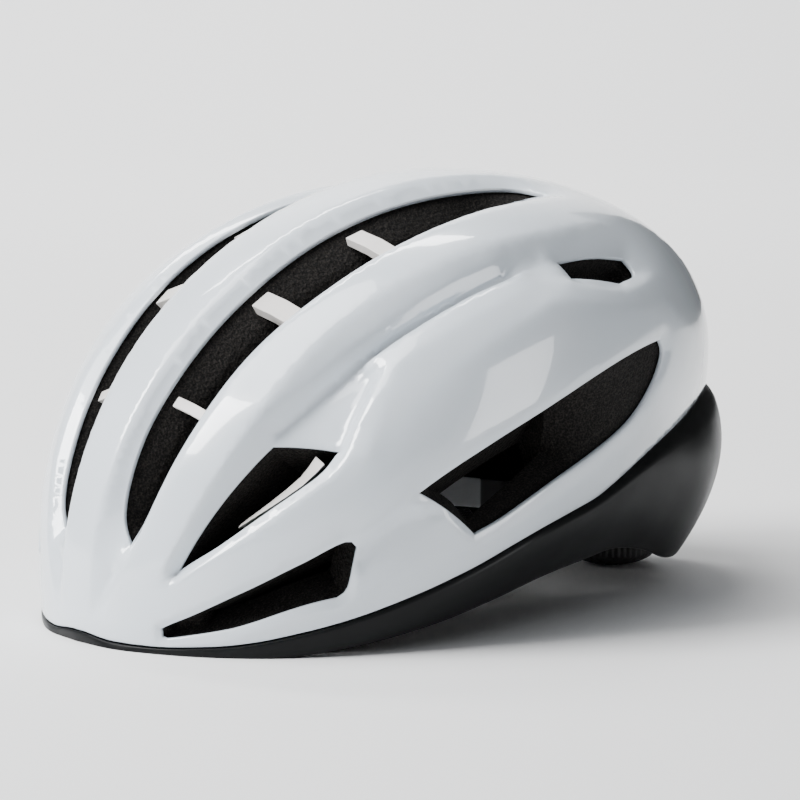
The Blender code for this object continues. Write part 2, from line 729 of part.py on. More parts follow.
def make_dial(parts):
    """The dial: a ribbed rim over a shallow dome that stands on the floor."""
    rings = []
    for radius, z, rib in ((0.0075, 0.0, 0.0), (0.0125, 0.0009, 0.0), (0.0160, 0.0028, 0.0),
                           (DIAL_RADIUS - 0.0004, 0.0048, 0.0), (DIAL_RADIUS, 0.0056, 0.0006),
                           (DIAL_RADIUS, 0.0106, 0.0006), (DIAL_RADIUS - 0.0012, DIAL_TOP, 0.0)):
        loop = []
        for k in range(2 * DIAL_RIBS):
            angle = math.pi * k / DIAL_RIBS
            r = radius - rib * (k % 2)
            loop.append(Vector((r * math.cos(angle), DIAL_Y + r * math.sin(angle), z)))
        rings.append(loop)
    loft("dial_knob", rings, "rubber", parts)
    rings = []
    teeth = 9
    for z, scale, rib in ((DIAL_TOP + GAP, 0.7, 0.0), (HOUSING_Z[0] + 0.0032, 0.7, 0.0),
                          (HOUSING_Z[0] + 0.0033, 1.0, 0.0007), (RACK_Z[1] + 0.001, 1.0, 0.0007)):
        loop = []
        for k in range(2 * teeth):
            angle = math.pi * k / teeth
            r = PINION_RADIUS * scale - rib * (k % 2)
            loop.append(Vector((r * math.cos(angle), DIAL_Y + r * math.sin(angle), z)))
        rings.append(loop)
    loft("dial_pinion", rings, "plastic_black", parts)


def make_bands(parts):
    """The left and right bands: a wide arm with a narrow rack at its nape end."""
    for side, word in ((1, "left"), (-1, "right")):
        rack_radius = BAND_RADIUS + side * RACK_OFFSET
        stations = [(-11 + 7.5 * i, BAND_RADIUS, [z + ARM_RISE * (1 - i / 9) for z in ARM_Z])
                    for i in range(9)]
        stations += [(58, BAND_RADIUS, ARM_Z), (66, rack_radius, RACK_Z)]
        stations += [(66 + 6 * i, rack_radius, RACK_Z) for i in range(1, 7)]
        sections = []
        for degrees, radius, (low, high) in stations:
            bearing = degrees if side > 0 else 180 - degrees
            near, far = radius - BAND_WALL / 2, radius + BAND_WALL / 2
            sections.append([arc_point(near, bearing, low), arc_point(far, bearing, low),
                             arc_point(far, bearing, high), arc_point(near, bearing, high)])
        loft("fit_band_" + word, sections, "nylon_grey", parts)


def make_height_rail(parts):
    """The fixed rail behind the nape and the slider that carries the cradle along it."""
    across = Vector((1.0, 0.0, 0.0))
    normal = across.cross(RAIL_AXIS).normalized()
    if normal.y > 0:
        normal = -normal

    def plate(name, start, end, half, near, far):
        sections = []
        for t in (start, (start + end) / 2, end):
            mid = RAIL_LOW + RAIL_AXIS * t
            sections.append([mid + across * x + normal * n
                             for x, n in ((-half, near), (half, near), (half, far), (-half, far))])
        return loft(name, sections, "plastic_black", parts)

    plate("height_rail", 0.0, 0.030, 0.0065, 0.0, 0.0016)
    low = RAIL_LOW - RAIL_AXIS * 0.0285 + normal * 0.0028
    top = RAIL_LOW + RAIL_AXIS * 0.014 + normal * 0.0028
    path = [(0.104, 0.0319), (0.099, 0.0319), (low.y, low.z + 0.0005), (top.y, top.z)]
    sections = []
    for i, (y, z) in enumerate(path):
        ahead = Vector(path[min(i + 1, 3)]) - Vector(path[max(i - 1, 0)])
        off = Vector((ahead.y, -ahead.x)).normalized() * 0.0008
        sections.append([Vector((x, y + s * off.x, z + s * off.y))
                         for x, s in ((-0.008, -1), (0.008, -1), (0.008, 1), (-0.008, 1))])
    loft("height_slider", sections, "plastic_black", parts)


# ---------------------------------------------------------------- straps and buckle
def make_anchors(parts):
    """Plates on the cavity's wall that hold the upper ends of the four straps."""
    for side, word in ((1, "left"), (-1, "right")):
        for place, bearing, low in (("front", -24, 0.022), ("rear", 36, 0.054)):
            sections = []
            for turn in (-6, 0, 6):
                angle = bearing + turn if side > 0 else 180 - bearing - turn
                sections.append([cavity_at(angle, low, 0.0029), cavity_at(angle, low + 0.010, 0.0029),
                                 cavity_at(angle, low + 0.010, 0.0052),
                                 cavity_at(angle, low, 0.0052)])
            loft("strap_anchor_%s_%s" % (place, word), sections, "plastic_black", parts)


def make_straps(parts):
    """Front and rear straps run down to the dividers, and chin straps from there to the buckle."""
    flat = STRAP_LOW + STRAP_THICK / 2
    routes = {
        "strap_front": ([(0.0680, -0.0490, 0.0192), (0.0662, -0.0462, 0.0170),
                         (0.0620, -0.039, 0.0158), (0.0568, -0.029, flat + 0.0003),
                         (0.0532, -0.019, flat), (0.0530, -0.0106, flat)],
                        Vector((0.33, 0.94, 0)), Vector((1.0, 0.0, 0))),
        "strap_rear": ([(0.0570, 0.0415, 0.0510), (0.0530, 0.0370, 0.0440), (0.0475, 0.031, 0.0350),
                        (0.0465, 0.0260, 0.0255), (0.0487, 0.0205, 0.0188), (0.0508, 0.0148, 0.0158),
                        (0.0515, 0.0092, flat)], Vector((-0.45, 0.89, 0)), Vector((-1.0, 0.0, 0))),
        "chin_strap": ([(0.0413, BUCKLE_Y, flat), (0.0378, BUCKLE_Y, 0.0168),
                        (0.0363, BUCKLE_Y, 0.0225), (0.0345, BUCKLE_Y, 0.0300),
                        (0.0300, BUCKLE_Y, 0.0352), (0.0255, BUCKLE_Y, 0.0325),
                        (0.0238, BUCKLE_Y, 0.0275), (0.0210, BUCKLE_Y, 0.0248),
                        (0.0155, BUCKLE_Y, 0.0240)], Vector((0, 1, 0)), Vector((0, 1, 0))),
    }
    for name, (route, start, end) in routes.items():
        for side, word in ((1, "left"), (-1, "right")):
            pts = smooth(route, 2)
            sections = []
            for i, p in enumerate(pts):
                t = i / (len(pts) - 1)
                along = (pts[min(i + 1, len(pts) - 1)] - pts[max(i - 1, 0)]).normalized()
                wide = start.lerp(end, t)
                wide = (wide - along * wide.dot(along)).normalized() * STRAP_WIDTH / 2
                thick = along.cross(wide).normalized() * STRAP_THICK / 2
                loop = [p - wide - thick, p + wide - thick, p + wide + thick, p - wide + thick]
                sections.append([Vector((q.x * side, q.y, q.z)) for q in loop])
            loft("%s_%s" % (name, word), sections, "webbing", parts)


def make_dividers(parts):
    """The plate where the front and rear straps meet, and its cam lever."""
    for side, word in ((1, "left"), (-1, "right")):
        xs = sorted(side * x for x in DIVIDER_X)
        box("divider_" + word, (xs[0], DIVIDER_Y[0], DIVIDER_Z[0]),
            (xs[1], DIVIDER_Y[1], DIVIDER_Z[1]), "plastic_black", parts, 0.0009)
        low = DIVIDER_Z[1] + GAP
        box("divider_lever_" + word, (xs[0] + 0.002, DIVIDER_Y[0] + 0.001, low),
            (xs[1] - 0.002, LEVER_BACK, low + 0.0028), "plastic_black", parts, 0.0007)


def make_buckle(parts, cutters):
    """A buckle in two halves: a tongue in a socket, let go by a push button."""
    low, high = BUCKLE_Z
    front, back = BUCKLE_Y - BUCKLE_HALF_WIDTH, BUCKLE_Y + BUCKLE_HALF_WIDTH
    socket = box("buckle_socket", (GAP / 2, front, low), (BUCKLE_LENGTH, back, high),
                 "plastic_black", parts)
    cut(socket, box("tongue_space", (-0.001, BUCKLE_Y - 0.0064, low + 0.0022),
                    (0.0124, BUCKLE_Y + 0.0064, low + 0.0066), "plastic_black", cutters))
    cut(socket, box("button_space", (0.0035, BUCKLE_Y - 0.0036, low + 0.0042),
                    (0.0105, BUCKLE_Y + 0.0036, high + 0.001), "plastic_black", cutters))
    box("buckle_button", (0.0039, BUCKLE_Y - 0.0032, low + 0.0064),
        (0.0101, BUCKLE_Y + 0.0032, high + 0.0008), "plastic_black", parts, 0.0005)
    tongue = [(-BUCKLE_LENGTH, BUCKLE_HALF_WIDTH, low, high), (-GAP / 2, BUCKLE_HALF_WIDTH, low, high),
              (-GAP / 2 + 0.0001, 0.0060, low + 0.0026, low + 0.0048),
              (0.0118, 0.0050, low + 0.0026, low + 0.0048)]
    sections = [[Vector((x, BUCKLE_Y - w, a)), Vector((x, BUCKLE_Y + w, a)),
                 Vector((x, BUCKLE_Y + w, b)), Vector((x, BUCKLE_Y - w, b))]
                for x, w, a, b in tongue]
    loft("buckle_plug", sections, "plastic_black", parts)


def hang(obj, parent, place):
    """Parent an object laid out about zero to a pivot that stands at a place."""
    obj.parent = parent
    obj.location -= place


def hang_all(parts, cutters):
    """Hang every piece on the frame, and each moving piece on a pivot at its joint."""
    frame = bpy.data.objects.new("frame", None)
    frame.location.y = FRAME_Y
    parts.objects.link(frame)
    pivots = {None: (frame, Vector((0.0, 0.0, 0.0)))}
    moving = {}
    for name, carrier, place, pieces in PIVOTS:
        pivot = bpy.data.objects.new(name, None)
        parts.objects.link(pivot)
        above, above_place = pivots[carrier]
        pivot.parent = above
        pivot.location = place - above_place
        pivots[name] = (pivot, place)
        moving.update({piece: name for piece in pieces})
    for obj in list(parts.objects) + list(cutters.objects):
        if obj.type == 'MESH':
            hang(obj, *pivots[moving.get(obj.name)])


SLOT_LINE = slot_ring()
BELT_LINE = smooth(BELT, 2)


def main():
    clear_scene()
    parts = new_collection("cycling_helmet")
    cutters = new_collection("cutters")
    make_upper_shell(parts)
    make_foam_liner(parts)
    make_lower_shell(parts)
    make_foam_tail(parts)
    make_slot_bars(parts)
    make_corner_fins(parts)
    make_padding(parts)
    make_cradle(parts, cutters)
    make_dial(parts)
    make_bands(parts)
    make_height_rail(parts)
    make_anchors(parts)
    make_straps(parts)
    make_dividers(parts)
    make_buckle(parts, cutters)
    hang_all(parts, cutters)


main()
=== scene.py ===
"""The looks of the cycling helmet: fine shells, foam, padding, webbing, materials and light.

Everything is in metres in the model's frame: +Z up, the wearer faces -Y and their left is +X.
A place on the helmet's outer form is a pair (u, v) of a stereographic chart of a warped dome:
u runs to the wearer's left, v runs to the back, and (0, 0) is the top.  Heights above that form
are in millimetres in the tables and in metres everywhere else.
"""
import math

import bmesh
import bpy
import numpy as np
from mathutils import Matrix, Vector
from mathutils.geometry import delaunay_2d_cdt


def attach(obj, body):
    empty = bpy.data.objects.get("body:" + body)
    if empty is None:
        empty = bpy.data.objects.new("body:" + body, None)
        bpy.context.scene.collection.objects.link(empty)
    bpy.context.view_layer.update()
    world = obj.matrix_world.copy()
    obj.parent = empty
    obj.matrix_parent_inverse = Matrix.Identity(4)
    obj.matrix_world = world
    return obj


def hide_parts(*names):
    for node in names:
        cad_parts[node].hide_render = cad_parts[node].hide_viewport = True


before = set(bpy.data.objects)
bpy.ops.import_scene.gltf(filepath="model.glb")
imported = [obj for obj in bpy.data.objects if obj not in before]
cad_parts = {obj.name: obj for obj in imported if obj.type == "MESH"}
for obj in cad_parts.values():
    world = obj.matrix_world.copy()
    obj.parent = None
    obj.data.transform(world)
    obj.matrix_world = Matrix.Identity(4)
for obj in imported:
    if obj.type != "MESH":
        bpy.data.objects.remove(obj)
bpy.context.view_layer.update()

# ---------------------------------------------------------------- the outer form, as in the model
HALF_WIDTH = 0.0834
WIDTH_WARP = (-0.605, -0.194, 0.662, 0.116, 0.201)
HALF_LENGTH = 0.1387
LENGTH_WARP = (0.03385, -0.0103, 0.01557, 0.01315)
HEIGHT = 0.1492
HEIGHT_WARP = (-0.098, -0.025, -0.046, 0.018)
RIM_DROP = 0.01483
FRAME_Y = 0.00425
SHELL = 0.0018
CAVITY_CENTRE = np.array((0.0, -0.010, 0.020))
CAVITY_RADII = np.array((0.0785, 0.100, 0.110))
MM = 0.001
SPACING = 0.0115           # chart distance between neighbouring points of the fine meshes
ROW_PITCH = 0.87           # rows of a triangular grid, as a share of the spacing
CLEAR = 0.6                # how near a crease a grid point may lie, as a share of the spacing
RELAX_ROUNDS = 2500        # passes that stretch a surface between its creases
SKIN_SOFTEN, FOAM_SOFTEN = 0.3, 0.5   # how far a crease gives way to its neighbours
BELT_HEIGHT = -0.3         # mm, the white shell's lower edge against the outer form
FOAM_RIM_HEIGHT = -6.0     # mm, the foam's lower edge, inside the charcoal shell
FOAM_UNDER = -2.9          # mm, the foam's face below the white shell's
MOUTH_LIFT = 0.5           # mm, the foam rises that much at the vents' mouths
CREST_OUT, CREST_RISE = 0.012, 1.1   # a vent's rolled lip: chart distance and mm
CREST_CLEAR = 0.02         # no lip points nearer than this to another crease
SLOT_FLOOR = -17           # mm
SLOT_BAND = 0.056          # width of the slot floor's solid strip on the inner side
SLOT_LEDGE = 0.022         # and on the outer side
PAD_INSET = 0.0022         # gap from the cavity's wall to a pad's back
BROW_INSET = 0.0026

BAND_CENTRE_Y = 0.043
DIAL_Y = 0.103
DIAL_RADIUS = 0.0175
STRAP_WIDTH = 0.014
STRAP_THICK = 0.0012
STRAP_LOW = 0.0147
BUCKLE_Y = -0.001
ARM_BLACK_FROM = 0.0800    # the fit arms are black behind this y

LENS_DEGREES = 12.0
EYE = (1.1213, -0.87525, 0.2742)
AIM_POINT = (-0.00168, 0.0021, 0.07386)
MIDDLE = Vector((0.0, 0.0, 0.08))      # what the lights point at
BACK = Vector((-0.79, 0.61, 0.0))      # away from the camera, level
SIDE = Vector((0.61, 0.79, 0.0))       # to the camera's right, level
LEFT = Vector((-0.615, -0.787, 0.0))
UP = Vector((0.0, 0.0, 1.0))
SWEEP_HALF_WIDTH = 6.0
SKY_SHADE = (0.45, 0.89, 0.0)          # the direction in which the sky is darkest

BELT = [(0.0, -1.17), (0.20, -1.162), (0.40, -1.105), (0.57, -1.01), (0.69, -0.905),
        (0.782, -0.78), (0.846, -0.65), (0.882, -0.517), (0.895, -0.382), (0.882, -0.24),
        (0.823, -0.017), (0.763, 0.10), (0.60, 0.275), (0.50, 0.353), (0.345, 0.445),
        (0.17, 0.505), (0.0, 0.525)]
FOAM_RIM = [(0.0, -1.185), (0.20, -1.18), (0.40, -1.125), (0.58, -1.03), (0.718, -0.93),
            (0.833, -0.81), (0.914, -0.677), (0.975, -0.53), (0.985, -0.375), (0.975, -0.214),
            (0.90, -0.05), (0.79, 0.06), (0.67, 0.18), (0.55, 0.295), (0.38, 0.42),
            (0.19, 0.495), (0.0, 0.52)]
RIM = [(0.0, -0.150, 0.0), (0.020, -0.148, 0.0), (0.037, -0.1405, 0.0), (0.052, -0.1305, 0.0),
       (0.0645, -0.118, 0.0), (0.074, -0.104, 0.001), (0.081, -0.088, 0.003),
       (0.086, -0.071, 0.006), (0.0895, -0.052, 0.010), (0.090, -0.030, 0.015),
       (0.087, -0.005, 0.020), (0.080, 0.020, 0.022), (0.074, 0.040, 0.0232),
       (0.066, 0.061, 0.0195), (0.056, 0.082, 0.0125), (0.048, 0.095, 0.0118),
       (0.035, 0.110, 0.0145), (0.018, 0.121, 0.017), (0.0, 0.1245, 0.018)]

# openings in the white shell, left half: sides of (u, v, height in mm) that meet at corners
SLOT = [[(0.135, -0.035, -2.0), (0.09, -0.065, -3.2), (0.073, -0.15, -4), (0.066, -0.30, -4),
         (0.072, -0.45, -4), (0.078, -0.60, -4), (0.085, -0.75, -4), (0.115, -0.88, -4.5),
         (0.178, -0.94, -4.5)],
        [(0.178, -0.94, -4.5), (0.209, -0.86, -3.2), (0.206, -0.70, -3.2), (0.192, -0.54, -3.2),
         (0.188, -0.40, -3.2), (0.178, -0.26, -3.2), (0.164, -0.15, -3),
         (0.135, -0.035, -2.0)]]
CORNER_VENT = [[(0.366, -0.93, -4), (0.371, -0.80, -4), (0.371, -0.622, -6.5)],
               [(0.371, -0.622, -6.5), (0.43, -0.579, -7.5), (0.49, -0.538, -6)],
               [(0.49, -0.538, -6), (0.506, -0.593, -3.5), (0.485, -0.70, -3), (0.44, -0.82, -3),
                (0.366, -0.93, -4)]]
BROW_VENT = [[(0.39, -1.06, -1), (0.425, -1.075, -1), (0.56, -0.98, -1.2), (0.66, -0.87, -1.2),
              (0.78, -0.665, -1.5)],
             [(0.78, -0.665, -1.5), (0.775, -0.63, -1.6), (0.70, -0.58, -2)],
             [(0.70, -0.58, -2), (0.668, -0.60, -1), (0.637, -0.704, -1), (0.58, -0.83, -1),
              (0.49, -0.96, -1), (0.39, -1.06, -1)]]
SIDE_VENT = [[(0.668, -0.435, -1), (0.745, -0.373, -2.2), (0.822, -0.311, -1.2)],
             [(0.822, -0.311, -1.2), (0.808, -0.235, -1), (0.769, -0.132, -1),
              (0.711, -0.014, -1), (0.645, 0.07, -1), (0.566, 0.108, -1), (0.50, 0.112, -1),
              (0.475, 0.09, -1)],
             [(0.475, 0.09, -1), (0.585, -0.123, -1), (0.634, -0.267, -1), (0.668, -0.435, -1)]]
REAR_VENT = [[(0.313, -0.115, -4.5), (0.358, -0.104, -3.5)],
             [(0.358, -0.104, -3.5), (0.376, -0.016, -2.5)],
             [(0.376, -0.016, -2.5), (0.349, 0.026, -2.5), (0.309, 0.012, -3)],
             [(0.309, 0.012, -3), (0.308, -0.05, -3.5), (0.313, -0.115, -4.5)]]
EXHAUST = [[(0.075, 0.24, -2), (0.155, 0.225, -2)],
           [(0.155, 0.225, -2), (0.205, 0.33, -2), (0.17, 0.39, -2)],
           [(0.17, 0.39, -2), (0.085, 0.405, -2)],
           [(0.085, 0.405, -2), (0.068, 0.32, -2), (0.075, 0.24, -2)]]
OPENINGS = {"slot": SLOT, "corner": CORNER_VENT, "brow": BROW_VENT, "side": SIDE_VENT,
            "rear": REAR_VENT, "exhaust": EXHAUST}

# creases of the white shell, left half: (u, v, height in mm)
CREASES = {
    "centre_rib": [(0.098, 0.02, 0), (0.075, -0.06, 0.3), (0.053, -0.16, 0.7), (0.047, -0.30, 0.9),
                   (0.052, -0.45, 0.9), (0.058, -0.60, 0.9), (0.062, -0.75, 0.9),
                   (0.070, -0.90, 0.8), (0.078, -1.02, 0.5), (0.084, -1.12, 0.1)],
    "second_rib_inner": [(0.155, 0.0, 0), (0.173, -0.08, 0), (0.178, -0.15, 0),
                         (0.190, -0.26, 0), (0.201, -0.40, 0), (0.206, -0.54, 0),
                         (0.219, -0.70, 0), (0.226, -0.86, 0), (0.212, -0.96, 0),
                         (0.175, -1.06, 0), (0.150, -1.12, 0)],
    "valley": [(0.150, -1.00, -3.2), (0.123, -1.06, -1.4), (0.112, -1.11, -0.3)],
    "second_rib_bevel": [(0.238, -0.83, 0.5), (0.243, -0.756, 0.9), (0.238, -0.688, 1.0),
                         (0.236, -0.628, 1.0), (0.239, -0.591, 0.9), (0.261, -0.553, 0.6)],
    "second_rib_outer": [(0.336, -0.93, 0.3), (0.342, -0.86, 0.6), (0.340, -0.76, 0.9),
                         (0.328, -0.65, 1.2), (0.303, -0.54, 1.5), (0.281, -0.45, 1.6),
                         (0.275, -0.388, 1.6), (0.271, -0.310, 1.6), (0.268, -0.246, 1.6),
                         (0.267, -0.181, 1.5), (0.264, -0.097, 1.3), (0.224, 0.027, 1.2),
                         (0.207, 0.089, 1.1), (0.217, 0.158, 1.0), (0.235, 0.27, 0.8),
                         (0.245, 0.38, 0.2)],
    "channel": [(0.366, -0.60, -7.6), (0.362, -0.53, -9.0), (0.356, -0.462, -9.6),
                (0.350, -0.400, -9.6), (0.342, -0.326, -9.5), (0.332, -0.264, -9.0),
                (0.324, -0.204, -7.6), (0.314, -0.172, -5.0)],
    "channel_brink": [(0.340, -0.60, -1.8), (0.336, -0.53, -2.2), (0.330, -0.462, -2.6),
                      (0.324, -0.400, -2.6), (0.316, -0.326, -2.6), (0.306, -0.264, -2.4),
                      (0.298, -0.204, -2.0)],
    "channel_wall": [(0.353, -0.60, -4.8), (0.349, -0.53, -5.6), (0.343, -0.462, -6.2),
                     (0.337, -0.400, -6.2), (0.329, -0.326, -6.1), (0.319, -0.264, -5.8),
                     (0.311, -0.204, -4.8)],
    "channel_edge": [(0.366, -0.424, -2.6), (0.362, -0.388, -2.0), (0.354, -0.326, -1.9),
                     (0.344, -0.264, -1.9), (0.336, -0.204, -2.1), (0.329, -0.176, -3.0)],
    "channel_back": [(0.368, -0.452, -8.4), (0.380, -0.444, -7.8), (0.391, -0.440, -7.2)],
    "channel_side": [(0.470, -0.526, -6.8), (0.432, -0.484, -7.2), (0.402, -0.450, -7.2)],
    "bridge_low": [(0.300, -0.150, -4.0), (0.318, -0.158, -4.8), (0.348, -0.150, -3.2)],
    "panel_crease": [(0.488, -0.513, -0.8), (0.455, -0.479, -0.3), (0.424, -0.436, 0.3),
                     (0.406, -0.404, 0.6), (0.402, -0.366, 0.7), (0.393, -0.294, 0.7),
                     (0.380, -0.222, 0.5), (0.368, -0.180, -0.3)],
    "panel_lip": [(0.506, -0.528, 0), (0.520, -0.553, 0),
                  (0.522, -0.598, 0), (0.512, -0.657, 0), (0.499, -0.722, 0),
                  (0.466, -0.803, 0), (0.415, -0.893, 0), (0.349, -0.987, 0),
                  (0.290, -1.06, 0)],
    "rear_vent_crest": [(0.372, -0.120, 0), (0.385, -0.090, 0), (0.396, -0.025, 0.3),
                        (0.362, 0.040, 0.3), (0.300, 0.110, 0.3), (0.250, 0.178, 0.2)],
    "panel_lower": [(0.490, -0.372, 1.0), (0.454, -0.284, 1.7), (0.430, -0.204, 2.0),
                    (0.411, -0.162, 2.0), (0.412, -0.144, 2.0), (0.431, -0.068, 2.0),
                    (0.429, 0.018, 1.9), (0.404, 0.071, 1.8), (0.421, 0.137, 1.5),
                    (0.415, 0.301, 0.8)],
    "facet_upper": [(0.424, -0.408, 0.4), (0.478, -0.458, 1.0), (0.534, -0.503, 1.2)],
    "facet_lower": [(0.490, -0.372, 1.0), (0.504, -0.395, 1.1), (0.545, -0.430, 1.0),
                    (0.580, -0.454, 0.8)],
    "step_high": [(0.655, -0.60, 0), (0.672, -0.545, 0.8), (0.665, -0.476, 0.8),
                  (0.652, -0.42, 0.2)],
    "step_low": [(0.735, -0.588, -2.6), (0.716, -0.552, -2.8), (0.711, -0.480, -2.8),
                 (0.730, -0.400, -2.6)],
    "sill": [(0.800, -0.70, 0), (0.812, -0.60, 0), (0.820, -0.48, 0), (0.838, -0.36, 0),
             (0.832, -0.26, 0), (0.795, -0.13, 0), (0.735, 0.0, 0), (0.668, 0.09, 0),
             (0.572, 0.135, 0.2)],
    "front_lip": [(0.0, -1.140, 0.2), (0.062, -1.138, 0.2), (0.177, -1.126, 0.2),
                  (0.292, -1.096, 0.2), (0.385, -1.085, 0.0)],
    "tail_ridge": [(0.0, 0.12, 0.3), (0.0, 0.24, 0.6), (0.0, 0.36, 0.6), (0.0, 0.46, 0.2)],
}

# ways through the foam: spans of v in the long slot's floor, and sides as above in the side vent
SLOT_HOLES = [(-0.86, -0.70), (-0.62, -0.49), (-0.42, -0.33), (-0.26, -0.12)]
SIDE_HOLE = [[(0.690, -0.395, -11), (0.745, -0.345, -12), (0.812, -0.296, -11)],
             [(0.812, -0.296, -11), (0.800, -0.22, -14), (0.765, -0.125, -16),
              (0.735, -0.065, -18)],
             [(0.735, -0.065, -18), (0.640, -0.090, -18), (0.590, -0.100, -17)],
             [(0.590, -0.100, -17), (0.640, -0.25, -15), (0.670, -0.35, -12),
              (0.690, -0.395, -11)]]


# ---------------------------------------------------------------- chart and dome, on arrays
def dome(uv):
    u, v = uv[:, 0], uv[:, 1]
    r = u * u + v * v
    nx, ny, nz = 2 * u / (1 + r), 2 * v / (1 + r), (1 - r) / (1 + r)
    a, b, c = WIDTH_WARP, LENGTH_WARP, HEIGHT_WARP
    x = HALF_WIDTH * nx * (1 + a[0] * ny + a[1] * ny ** 2 + a[2] * nz + a[3] * ny * nz
                           + a[4] * nz ** 2)
    y = HALF_LENGTH * ny + b[0] * nz + b[1] * ny ** 2 + b[2] * nz ** 2 + b[3] * ny * nz
    z = HEIGHT * nz * (1 + c[0] * ny + c[1] * ny ** 2 + c[2] * nz + c[3] * nx ** 2)
    return np.stack([x, y, z + RIM_DROP * (1 - ny)], axis=1)


def unit(vectors):
    return vectors / np.maximum(np.linalg.norm(vectors, axis=1, keepdims=True), 1e-12)


def dome_normal(uv):
    du, dv = np.array([[1e-3, 0.0]]), np.array([[0.0, 1e-3]])
    n = np.cross(dome(uv + du) - dome(uv - du), dome(uv + dv) - dome(uv - dv))
    n[np.abs(uv[:, 0]) < 1e-9, 0] = 0.0
    return unit(n)


def on_dome(uv, height):
    """Points at heights above the outer form, in the model's frame, never below the floor."""
    p = dome(uv) + dome_normal(uv) * np.asarray(height).reshape(-1, 1)
    p[np.abs(uv[:, 0]) < 1e-9, 0] = 0.0
    p[:, 1] += FRAME_Y
    p[:, 2] = np.maximum(p[:, 2], 0.0)
    return p


def in_cavity(uv):
    """The head cavity's wall on the lines from (u, v) to the cavity's centre."""
    ray = on_dome(uv, np.zeros(len(uv))) - np.array([0.0, FRAME_Y, 0.0]) - CAVITY_CENTRE
    scale = 1 / np.sqrt(np.sum((ray / CAVITY_RADII) ** 2, axis=1, keepdims=True))
    return CAVITY_CENTRE + np.array([0.0, FRAME_Y, 0.0]) + ray * scale


def curve(points, spacing):
    """A Catmull-Rom curve through the points, at about the given spacing."""
    pts = np.array(points, dtype=float)
    ends = np.vstack([2 * pts[0] - pts[1], pts, 2 * pts[-1] - pts[-2]])
    out = []
    for i in range(1, len(ends) - 2):
        a, b, c, d = ends[i - 1:i + 3]
        steps = max(1, int(round(np.linalg.norm((c - b)[:2]) / spacing)))
        for k in range(steps):
            t = k / steps
            out.append(0.5 * (2 * b + (c - a) * t + (2 * a - 5 * b + 4 * c - d) * t ** 2
                              + (3 * b - a - 3 * c + d) * t ** 3))
    return np.array(out + [pts[-1]])


def outline(sides):
    """A closed line from sides that meet at corners; the third column is its height."""
    return np.vstack([curve(side, SPACING)[:-1] for side in sides])


def closed_half(points, height):
    """A front-to-back line closed along the mirror plane."""
    line = curve(points, SPACING)
    line = np.column_stack([line, np.full(len(line), height)])
    start, end = line[0, 1], line[-1, 1]
    count = int((end - start) / SPACING)
    back = [(0.0, end + (start - end) * k / count, np.nan) for k in range(1, count)]
    return np.vstack([line, back])


def inside(points, polygon):
    x, y = points[:, 0], points[:, 1]
    hit = np.zeros(len(points), dtype=bool)
    for a, b in zip(polygon, np.roll(polygon, 1, axis=0)):
        cross = (a[1] > y) != (b[1] > y)
        if cross.any():
            hit ^= cross & (x < (b[0] - a[0]) * (y - a[1]) / (b[1] - a[1] + 1e-15) + a[0])
    return hit


def nearest(points, samples):
    """Distance from each point to its nearest sample."""
    best = np.full(len(points), 9.0)
    for start in range(0, len(samples), 200):
        part = samples[start:start + 200]
        gap = np.linalg.norm(points[:, None, :2] - part[None, :, :2], axis=2)
        best = np.minimum(best, gap.min(axis=1))
    return best


def shrink(line, distance, height):
    """A closed line moved inward in the chart, at a height (a number or one per point)."""
    ahead = np.roll(line, -1, axis=0)[:, :2] - np.roll(line, 1, axis=0)[:, :2]
    area = np.sum(line[:, 0] * np.roll(line[:, 1], -1) - np.roll(line[:, 0], -1) * line[:, 1])
    normal = np.column_stack([-ahead[:, 1], ahead[:, 0]]) * (1 if area > 0 else -1)
    moved = line[:, :2] + unit(normal) * distance
    kept = nearest(moved, line) > 0.75 * abs(distance)
    return np.column_stack([moved, np.full(len(line), 1.0) * height])[kept]


